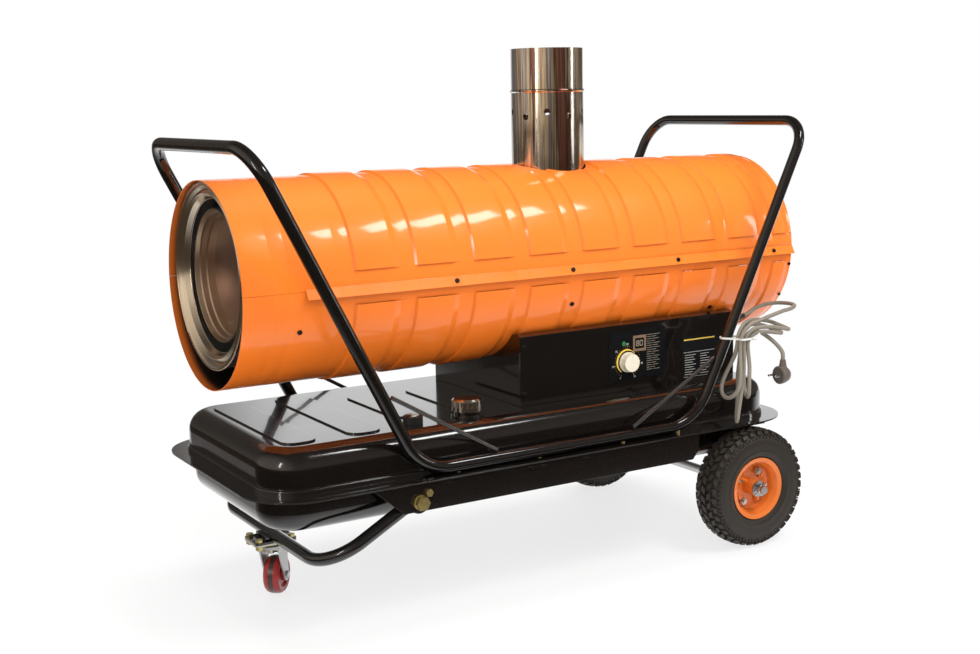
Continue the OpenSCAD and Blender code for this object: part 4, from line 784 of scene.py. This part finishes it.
def geometry_tree(name, inputs, material):
    """A tree with named inputs, the last of which is a material, and each one's identifier."""
    tree = bpy.data.node_groups.new(name, "GeometryNodeTree")
    face = tree.interface
    face.new_socket("Geometry", in_out="INPUT", socket_type="NodeSocketGeometry")
    sockets = named_inputs(tree, inputs)
    sockets[material] = face.new_socket(material, in_out="INPUT", socket_type="NodeSocketMaterial").identifier
    face.new_socket("Geometry", in_out="OUTPUT", socket_type="NodeSocketGeometry")
    return tree, sockets, added(tree, "NodeGroupInput").outputs


def repeat_piece(tree, piece, count, spot, material, rotation=(0, 0, 0)):
    """Ends a tree with copies of a piece at its spots, made real and given their material."""
    points = added(tree, "GeometryNodePoints", {"Count": count}).outputs[0]
    moved = added(tree, "GeometryNodeSetPosition", {"Geometry": points, "Position": spot}).outputs[0]
    spread = added(tree, "GeometryNodeInstanceOnPoints", {"Points": moved, "Instance": piece,
                                                          "Rotation": rotation}).outputs[0]
    solid = added(tree, "GeometryNodeRealizeInstances", {0: spread}).outputs[0]
    painted = added(tree, "GeometryNodeSetMaterial", {"Geometry": solid, "Material": material}).outputs[0]
    added(tree, "NodeGroupOutput", {0: painted})


def grown(name, tree, sockets, values):
    """What a tree makes of these values, as a plain mesh."""
    holder = as_object(name, bpy.data.meshes.new(name))
    maker = holder.modifiers.new(name, "NODES")
    maker.node_group = tree
    for label, value in values.items():
        maker[sockets[label]] = value
    bpy.context.view_layer.update()
    graph = bpy.context.evaluated_depsgraph_get()
    mesh = bpy.data.meshes.new_from_object(holder.evaluated_get(graph), depsgraph=graph)
    bpy.data.objects.remove(holder)
    return mesh


# Tyres

def tread_tree():
    """Rows of blocks round a wheel whose axle runs along Y, lying on its crown."""
    tree, sockets, given = geometry_tree("tread_rows", {
        "Blocks": 36, "Radius": 0.12, "Across": 0.0, "Width": 0.014, "Length": 0.016, "Height": 0.008,
        "Lean": 0.0, "Skew": 0.0, "Phase": 0.0, "Top": 0.84}, "Rubber")
    size = vector_of(tree, given["Length"], given["Width"], given["Height"])
    block = added(tree, "GeometryNodeMeshCube", {"Size": size}).outputs["Mesh"]
    corner = split(tree, added(tree, "GeometryNodeInputPosition").outputs[0])
    above = maths(tree, "GREATER_THAN", corner["Z"], 0.0)
    keep = maths(tree, "ADD", maths(tree, "MULTIPLY", above, maths(tree, "SUBTRACT", given["Top"], 1.0)), 1.0)
    skewed = maths(tree, "ADD", maths(tree, "MULTIPLY", corner["X"], keep),
                   maths(tree, "MULTIPLY", corner["Y"], given["Skew"]))
    shaped = vector_of(tree, skewed, maths(tree, "MULTIPLY", corner["Y"], keep), corner["Z"])
    tapered = added(tree, "GeometryNodeSetPosition", {"Geometry": block, "Position": shaped}).outputs[0]
    place = maths(tree, "ADD", added(tree, "GeometryNodeInputIndex").outputs[0], given["Phase"])
    angle = maths(tree, "MULTIPLY", maths(tree, "DIVIDE", place, given["Blocks"]), 2 * math.pi)
    spot = vector_of(tree, maths(tree, "MULTIPLY", maths(tree, "SINE", angle), given["Radius"]),
                     given["Across"], maths(tree, "MULTIPLY", maths(tree, "COSINE", angle), given["Radius"]))
    lean = added(tree, "ShaderNodeCombineXYZ", {0: given["Lean"], 1: angle}).outputs[0]
    spin = added(tree, "FunctionNodeEulerToRotation", {0: lean}).outputs[0]
    repeat_piece(tree, tapered, given["Blocks"], spot, given["Rubber"], spin)
    return tree, sockets


TREAD, TREAD_SOCKETS = tread_tree()
TREAD_BLOCKS = 38


def tread_row(radius, across, width, length, height, lean, skew, phase):
    """One row of blocks about the origin: sizes in millimetres, a lean in radians and a phase in blocks."""
    return grown("tread_row", TREAD, TREAD_SOCKETS, {
        "Blocks": TREAD_BLOCKS, "Radius": radius * MM, "Across": across * MM, "Width": width * MM,
        "Length": length * MM, "Height": height * MM, "Lean": lean, "Skew": skew, "Phase": phase,
        "Rubber": tyre_rubber})


TREAD_MESHES = [tread_row(radius=122.8, across=0.0, width=12.0, length=15.5, height=7.0, lean=0.0, skew=0.55,
                          phase=0.0)]
for s in (1, -1):
    TREAD_MESHES.append(tread_row(radius=121.9, across=s * 14.6, width=11.5, length=14.0, height=7.2,
                                  lean=s * -0.16, skew=-0.5, phase=0.5))
for s in (1, -1):
    TREAD_MESHES.append(tread_row(radius=117.6, across=s * 27.0, width=10.5, length=12.5, height=8.0,
                                  lean=s * -0.62, skew=0.35, phase=0.05))
TYRE_OUTSIDE = [(66.6, 25.0), (68.6, 28.6), (69.6, 30.2), (72.0, 31.6), (75.0, 32.6), (78.0, 33.4),
                (79.2, 34.3), (80.6, 34.3), (81.8, 33.8), (88.0, 34.6), (94.0, 35.0), (100.0, 34.8),
                (105.0, 34.2), (106.2, 34.9), (107.6, 34.8), (108.6, 33.6), (112.0, 32.2), (115.4, 29.0),
                (117.6, 24.0), (118.9, 18.0), (119.7, 9.0), (120.0, 0.0)]
TYRE_BEAD = [(61.2, -24.6), (60.8, 0), (61.2, 24.6)]
# short ribs across the shoulder, where the sidewall meets the tread
RIB_COUNT, RIB_Y, RIB_R, RIB_LEAN = 76, 33.6, 110.5, 0.42
RIB_SIZE = Vector((3.2, 2.6, 8.5)) * MM


def tyre(name, side, body):
    bm = bmesh.new()
    middle = at(AXLE[0], side * WHEEL_Y, AXLE[1])
    far_side = [(radius, -height) for radius, height in TYRE_OUTSIDE[-2::-1]]
    lathe(bm, middle, (0, 1, 0), TYRE_OUTSIDE + far_side + TYRE_BEAD, steps=96, closed=True)
    for mesh in TREAD_MESHES:
        had = len(bm.verts)
        bm.from_mesh(mesh)
        bm.verts.ensure_lookup_table()
        bmesh.ops.translate(bm, vec=middle, verts=bm.verts[had:])
    for k in range(RIB_COUNT):
        turn = Matrix.Rotation(2 * math.pi * k / RIB_COUNT, 3, "Y")
        for s in (-1, 1):
            spot = middle + turn @ Vector((0, s * RIB_Y * MM, RIB_R * MM))
            slab(bm, spot, RIB_SIZE, turn @ Matrix.Rotation(-s * RIB_LEAN, 3, "X"))
    piece = from_bmesh(name, bm, tyre_rubber, 32)
    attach(piece, body)
    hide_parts(name.replace("_tread", ""))


tyre("left_tyre_tread", -1, "left_wheel")
tyre("right_tyre_tread", 1, "right_wheel")


# Bolt heads of the wheels

def barrel(tree, sides, radius, height, share):
    """A cylinder of a share of the height that stands on nought."""
    tall = maths(tree, "MULTIPLY", height, share)
    made = added(tree, "GeometryNodeMeshCylinder", {"Vertices": sides, "Radius": radius, "Depth": tall})
    shift = vector_of(tree, 0.0, 0.0, maths(tree, "MULTIPLY", tall, 0.5))
    return added(tree, "GeometryNodeTransform", {"Geometry": made.outputs["Mesh"],
                                                 "Translation": shift}).outputs[0]


def heads_tree():
    """Hexagonal heads with a collar and a stud's end, set on a circle about a line along Z."""
    tree, sockets, given = geometry_tree("heads_on_circle", {
        "Heads": 4, "Circle": 0.036, "Start": 0.0, "Across Corners": 0.0152, "Height": 0.0055,
        "Stud": 0.0042}, "Metal")
    half = maths(tree, "MULTIPLY", given["Across Corners"], 0.5)
    head = added(tree, "GeometryNodeJoinGeometry")
    for part in (barrel(tree, 6, half, given["Height"], 1.0),
                 barrel(tree, 24, maths(tree, "MULTIPLY", half, 1.08), given["Height"], 0.2),
                 barrel(tree, 16, given["Stud"], given["Height"], 1.45)):
        fill(tree, head, {0: part})
    index = added(tree, "GeometryNodeInputIndex").outputs[0]
    turn = maths(tree, "MULTIPLY", maths(tree, "DIVIDE", index, given["Heads"]), 2 * math.pi)
    angle = maths(tree, "ADD", turn, given["Start"])
    spot = vector_of(tree, maths(tree, "MULTIPLY", maths(tree, "COSINE", angle), given["Circle"]),
                     maths(tree, "MULTIPLY", maths(tree, "SINE", angle), given["Circle"]), 0.0)
    repeat_piece(tree, head.outputs[0], given["Heads"], spot, given["Metal"])
    return tree, sockets


HEADS, HEADS_SOCKETS = heads_tree()
HEADS_START = 57            # degrees to the first head
HEADS_OUT = 3.4             # their seat, outwards from the wheel's middle


def wheel_bolts(name, side, body):
    """Bolt heads that hold the two halves of a rim together, on the wheel's outer side."""
    mesh = grown(name, HEADS, HEADS_SOCKETS, {"Start": math.radians(-side * HEADS_START),
                                              "Metal": bright_cap})
    turned = Matrix.Rotation(math.radians(-side * 90), 4, "X")
    mesh.transform(Matrix.Translation(at(AXLE[0], side * (WHEEL_Y + HEADS_OUT), AXLE[1])) @ turned)
    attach(as_object(name, mesh), body)


wheel_bolts("left_wheel_bolts", -1, "left_wheel")
wheel_bolts("right_wheel_bolts", 1, "right_wheel")


# Control panel

PANEL_Y = -173.1            # outer face of the black overlay
PLATE_Y = -172.8            # outer face of the plate beside it
KNOB = (838.0, 407.0)
PRINT = 0.12                # how far a printed stroke stands out


def on_panel(x, z, out=0.0):
    return at(x, PANEL_Y - out, z)


def round_knob(radius, angle, out):
    """A point on the panel at an angle in degrees about the knob, from +X upwards."""
    turn = math.radians(angle)
    return on_panel(KNOB[0] + radius * math.cos(turn), KNOB[1] + radius * math.sin(turn), out)


def on_chassis(name, bm, material):
    piece = from_bmesh(name, bm, material)
    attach(piece, "chassis")


def strokes(name, rows, material, y=PANEL_Y):
    """Flat printed strokes: x at the left end, z, length and height of each, in millimetres."""
    bm = bmesh.new()
    for x, z, length, height in rows:
        slab(bm, at(x + length / 2, y - PRINT / 2, z), (length * MM, PRINT * MM, height * MM))
    on_chassis(name, bm, material)


# angles in degrees about the knob, radii and widths in millimetres
WEDGE_STEPS, WEDGE_START, WEDGE_SWEEP, WEDGE_R = 72, 232, 190, 24.0
WEDGE_THIN, WEDGE_SWELL = 1.4, 3.0
DIAL_START, TICK_STEP, TICK_COUNT, TICKS_EACH = 240, 10, 31, 5
TICK_OUTER, LONG_INNER, SHORT_INNER = 33.0, 30.6, 31.4
NUMBER_COUNT, NUMBER_R, NUMBER_HEIGHT = 7, 37.2, 5.8


def wedge_edge(share):
    """Outer radius of the dial's wedge, a share of the way along it."""
    return WEDGE_R + WEDGE_THIN + WEDGE_SWELL * math.sin(math.pi * min(1, share * 1.15)) ** 0.7


def dial_scale():
    """Printed scale round the knob: a wedge that widens towards warm, and strokes along it."""
    bm = bmesh.new()
    for k in range(WEDGE_STEPS):
        near, far = k / WEDGE_STEPS, (k + 1) / WEDGE_STEPS
        corners = [(wedge_edge(near), near), (wedge_edge(far), far), (WEDGE_R, far), (WEDGE_R, near)]
        bm.faces.new([bm.verts.new(round_knob(radius, WEDGE_START - WEDGE_SWEEP * share, 0.1))
                      for radius, share in corners])
    for k in range(TICK_COUNT):
        angle = DIAL_START - TICK_STEP * k
        inner, width = (LONG_INNER, 0.7) if k % TICKS_EACH == 0 else (SHORT_INNER, 0.4)
        slab(bm, round_knob((inner + TICK_OUTER) / 2, angle, 0.05),
             ((TICK_OUTER - inner) * MM, 0.0001, width * MM), Matrix.Rotation(-math.radians(angle), 3, "Y"))
    on_chassis("dial_scale", bm, amber_line)


def dial_numbers():
    """Plain digits round the dial, as thin meshes that stand on the panel."""
    for k in range(NUMBER_COUNT):
        name = f"dial_number_{k}"
        curve = bpy.data.curves.new(name, "FONT")
        curve.body = str(5 * k + 5)
        curve.size = NUMBER_HEIGHT * MM
        curve.align_x = curve.align_y = "CENTER"
        curve.extrude = 0.00008
        curve.resolution_u = 3
        written = as_object(name, curve)
        bpy.context.view_layer.update()
        mesh = bpy.data.meshes.new_from_object(written)
        bpy.data.objects.remove(written)
        spot = round_knob(NUMBER_R, DIAL_START - TICK_STEP * TICKS_EACH * k, 0.05)
        mesh.transform(Matrix.Translation(spot) @ Matrix.Rotation(math.radians(90), 4, "X"))
        mesh.materials.clear()
        mesh.materials.append(plate_line)
        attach(as_object(name, mesh), "chassis")


DISPLAY = (868.5, 443.5)
DIGIT_APART, DIGIT_WIDTH, DIGIT_HALF, DIGIT_OUT = 9.2, 6.2, 5.4, 0.95
FLAT_PART, TALL_PART = (4.6, 1.3), (1.3, 4.2)
WINDOW_WIDTH, WINDOW_HEIGHT, WINDOW_OUT = 23.8, 21.8, 0.65
# each part of a digit: its place in widths and half heights of a digit, and whether it lies flat
SEGMENTS = {"a": (0, 1, True), "b": (0.5, 0.5, False), "c": (0.5, -0.5, False), "d": (0, -1, True),
            "e": (-0.5, -0.5, False), "f": (-0.5, 0.5, False), "g": (0, 0, True)}


def display_digits():
    """Two seven-part digits behind the display's window."""
    bm = bmesh.new()
    for side, lit in ((-1, "abcdefg"), (1, "abcdef")):
        middle = DISPLAY[0] + side * DIGIT_APART / 2
        for x, z, flat in (SEGMENTS[part] for part in lit):
            width, height = FLAT_PART if flat else TALL_PART
            spot = on_panel(middle + x * DIGIT_WIDTH, DISPLAY[1] + z * DIGIT_HALF, DIGIT_OUT)
            slab(bm, spot, (width * MM, 0.0003, height * MM))
    on_chassis("display_digits", bm, digit_grey)
    bm = bmesh.new()
    slab(bm, on_panel(*DISPLAY, WINDOW_OUT), (WINDOW_WIDTH * MM, 0.0003, WINDOW_HEIGHT * MM))
    on_chassis("display_window", bm, panel_film)


OVERLAY_ROWS, OVERLAY_LEFT, OVERLAY_TOP, OVERLAY_PITCH = 17, 888.0, 459.0, 4.6
OVERLAY_LENGTHS = (34, 24, 31, 20, 33, 28)
PLATE_ROWS, PLATE_TOP, PLATE_PITCH = 9, 403.0, 5.2
PLATE_COLUMNS = {990.0: (30, 24, 28, 22), 1032.0: (24, 18, 26)}
PLATE_LEFT, PLATE_WIDTH, PLATE_RULES, PLATE_BAND = 987.0, 84.0, (409.0, 356.0), 436.0


def panel_strokes():
    """Rows of short strokes on the overlay, and on the plate beside it under a band."""
    rows = []
    for k in range(OVERLAY_ROWS):
        z = OVERLAY_TOP - OVERLAY_PITCH * k
        length = OVERLAY_LENGTHS[k % len(OVERLAY_LENGTHS)]
        rows += [(OVERLAY_LEFT, z, length * 0.45, 0.8),
                 (OVERLAY_LEFT + 2.0 + length * 0.45, z, length * 0.5, 0.8)]
    strokes("overlay_strokes", rows, dim_line)
    rows = [(x, PLATE_TOP - PLATE_PITCH * k, lengths[k % len(lengths)], 0.9)
            for x, lengths in PLATE_COLUMNS.items() for k in range(PLATE_ROWS)]
    rows += [(PLATE_LEFT, z, PLATE_WIDTH, 0.7) for z in PLATE_RULES]
    strokes("plate_strokes", rows, plate_line, PLATE_Y)
    strokes("plate_band", [(PLATE_LEFT, PLATE_BAND, PLATE_WIDTH, 2.6)], amber_line, PLATE_Y)


display_digits()
panel_strokes()
dial_scale()
dial_numbers()


# Room and lights

def flat_sheet(name, corners):
    mesh = bpy.data.meshes.new(name)
    mesh.from_pydata(corners, [], [(0, 1, 2, 3)])
    return as_object(name, mesh)


def blend(tree, share, first, second):
    """One shader that gives way to a second as a share grows."""
    return added(tree, "ShaderNodeMixShader", {0: share, 1: first, 2: second}).outputs[0]


def glow(tree, kind, colour, strength):
    return added(tree, kind, {"Color": (*colour, 1), "Strength": strength}).outputs[0]


def stage_material(name):
    material = bpy.data.materials.new(name)
    material.use_nodes = True
    return material, material.node_tree


SHEET_Y, SHEET_LEFT, SHEET_RIGHT, SHEET_LOW, SHEET_HIGH = 2.3, -1.5, 4.5, 0.001, 1.7


def backdrop():
    """White paper behind the heater, of the height and width that its paint mirrors."""
    sheet = flat_sheet("backdrop", [(SHEET_LEFT, SHEET_Y, SHEET_LOW), (SHEET_RIGHT, SHEET_Y, SHEET_LOW),
                                    (SHEET_RIGHT, SHEET_Y, SHEET_HIGH), (SHEET_LEFT, SHEET_Y, SHEET_HIGH)])
    material, tree = stage_material("backdrop_white")
    tree.nodes.remove(tree.nodes["Principled BSDF"])
    spot = split(tree, object_place(tree))
    level = maths(tree, "MULTIPLY", ramped(tree, spot["Z"], 1.3, 1.62, 1.0, 0.0),
                  ramped(tree, spot["X"], -0.1, 0.55))
    white = glow(tree, "ShaderNodeEmission", (1, 1, 1), 1.0)
    clear = added(tree, "ShaderNodeBsdfTransparent").outputs[0]
    fill(tree, tree.nodes["Material Output"], {"Surface": blend(tree, level, clear, white)})
    sheet.data.materials.append(material)
    sheet.visible_camera = sheet.visible_diffuse = sheet.visible_shadow = False


FLOOR_REACH = 40.0


def white_floor():
    """White floor that fades into the background and keeps the heater's shadow near it."""
    floor = flat_sheet("floor", [(-FLOOR_REACH, -FLOOR_REACH, 0), (FLOOR_REACH, -FLOOR_REACH, 0),
                                 (FLOOR_REACH, FLOOR_REACH, 0), (-FLOOR_REACH, FLOOR_REACH, 0)])
    material, tree = stage_material("floor_white")
    shader = fill(tree, tree.nodes["Principled BSDF"], {"Base Color": (0.9, 0.89, 0.88, 1), "Roughness": 0.5,
                                                        "Specular IOR Level": 0.25})
    place = object_place(tree)
    fade = ramped(tree, vector_maths(tree, "LENGTH", place), 0.9, 2.1)
    white = glow(tree, "ShaderNodeEmission", (1, 1, 1), 1.0)
    ray = added(tree, "ShaderNodeLightPath").outputs
    seen = maths(tree, "MAXIMUM", ray["Is Camera Ray"],
                 maths(tree, "MAXIMUM", ray["Is Glossy Ray"], ray["Is Transmission Ray"]))
    bright = maths(tree, "MULTIPLY", maths(tree, "MULTIPLY_ADD", fade, 0.25, 0.75), seen)
    lit = blend(tree, bright, shader.outputs[0], white)
    # what the heater's near side and ends mirror is a darker floor past the paper's edges
    spot = split(tree, place)
    paper = maths(tree, "MULTIPLY", ramped(tree, spot["Y"], -1.0, -0.3), ramped(tree, spot["X"], -1.2, -0.4))
    off_paper = maths(tree, "MULTIPLY", maths(tree, "SUBTRACT", 1.0, paper), ray["Is Glossy Ray"])
    past = glow(tree, "ShaderNodeEmission", (0.05, 0.036, 0.026), 1.0)
    fill(tree, tree.nodes["Material Output"], {"Surface": blend(tree, off_paper, lit, past)})
    floor.data.materials.append(material)


def surroundings():
    """White for the camera, plain light for matt paint, and a dim warm room for what mirrors it."""
    world = bpy.data.worlds.new("studio")
    bpy.context.scene.world = world
    world.use_nodes = True
    tree = world.node_tree
    tree.nodes.clear()
    way = split(tree, added(tree, "ShaderNodeTexCoord").outputs["Generated"])
    room = maths(tree, "MULTIPLY", ramped(tree, way["Y"], -0.5, 0.5, 0.24, 0.1),
                 ramped(tree, way["Z"], 0.2, 0.9, 1.0, 0.5))
    warm_end = ramped(tree, way["X"], -0.3, -0.9, 0.0, 0.5)
    seen = glow(tree, "ShaderNodeBackground", (1, 1, 1), 1.0)
    mirrored = glow(tree, "ShaderNodeBackground", (1, 0.86, 0.74), maths(tree, "ADD", room, warm_end))
    lit = glow(tree, "ShaderNodeBackground", (1, 1, 1), 0.62)
    ray = added(tree, "ShaderNodeLightPath").outputs
    through = maths(tree, "MAXIMUM", ray["Is Glossy Ray"], ray["Is Transmission Ray"])
    first = blend(tree, through, lit, mirrored)
    added(tree, "ShaderNodeOutputWorld", {0: blend(tree, ray["Is Camera Ray"], first, seen)})


def lamp(name, place, target, size, power, mirrored=True):
    """A rectangular lamp that points at a target, and shows in glossy paint if it is mirrored."""
    data = bpy.data.lights.new(name, "AREA")
    data.shape = "RECTANGLE"
    data.size, data.size_y = size
    data.energy = power
    light = as_object(name, data)
    light.location = place
    light.rotation_euler = (Vector(target) - Vector(place)).to_track_quat("-Z", "Y").to_euler()
    light.visible_glossy = mirrored


white_floor()
surroundings()
backdrop()
lamp("softbox_key", (0.98, -1.26, 2.58), (-0.1, 0, 0.6), (0.8, 0.36), 12)
lamp("strip_left", (-2.9, -1.3, 1.5), (-0.3, 0, 0.4), (0.18, 1.1), 8)
lamp("strip_right", (2.6, -1.9, 1.3), (0.3, 0, 0.4), (0.14, 1.2), 6)
lamp("fill_key", (0.9, -1.8, 2.8), (-0.1, 0, 0.6), (1.2, 0.9), 42, False)
lamp("fill_front", (-1.6, -3.2, 2.6), (0, 0, 0.45), (1.8, 1.2), 46, False)
lamp("fill_over", (0.0, 0.4, 3.4), (0, 0, 0.4), (2.4, 1.4), 62, False)
lamp("fill_back", (0.5, 3.2, 2.0), (0, 0, 0.5), (2.0, 1.4), 22, False)
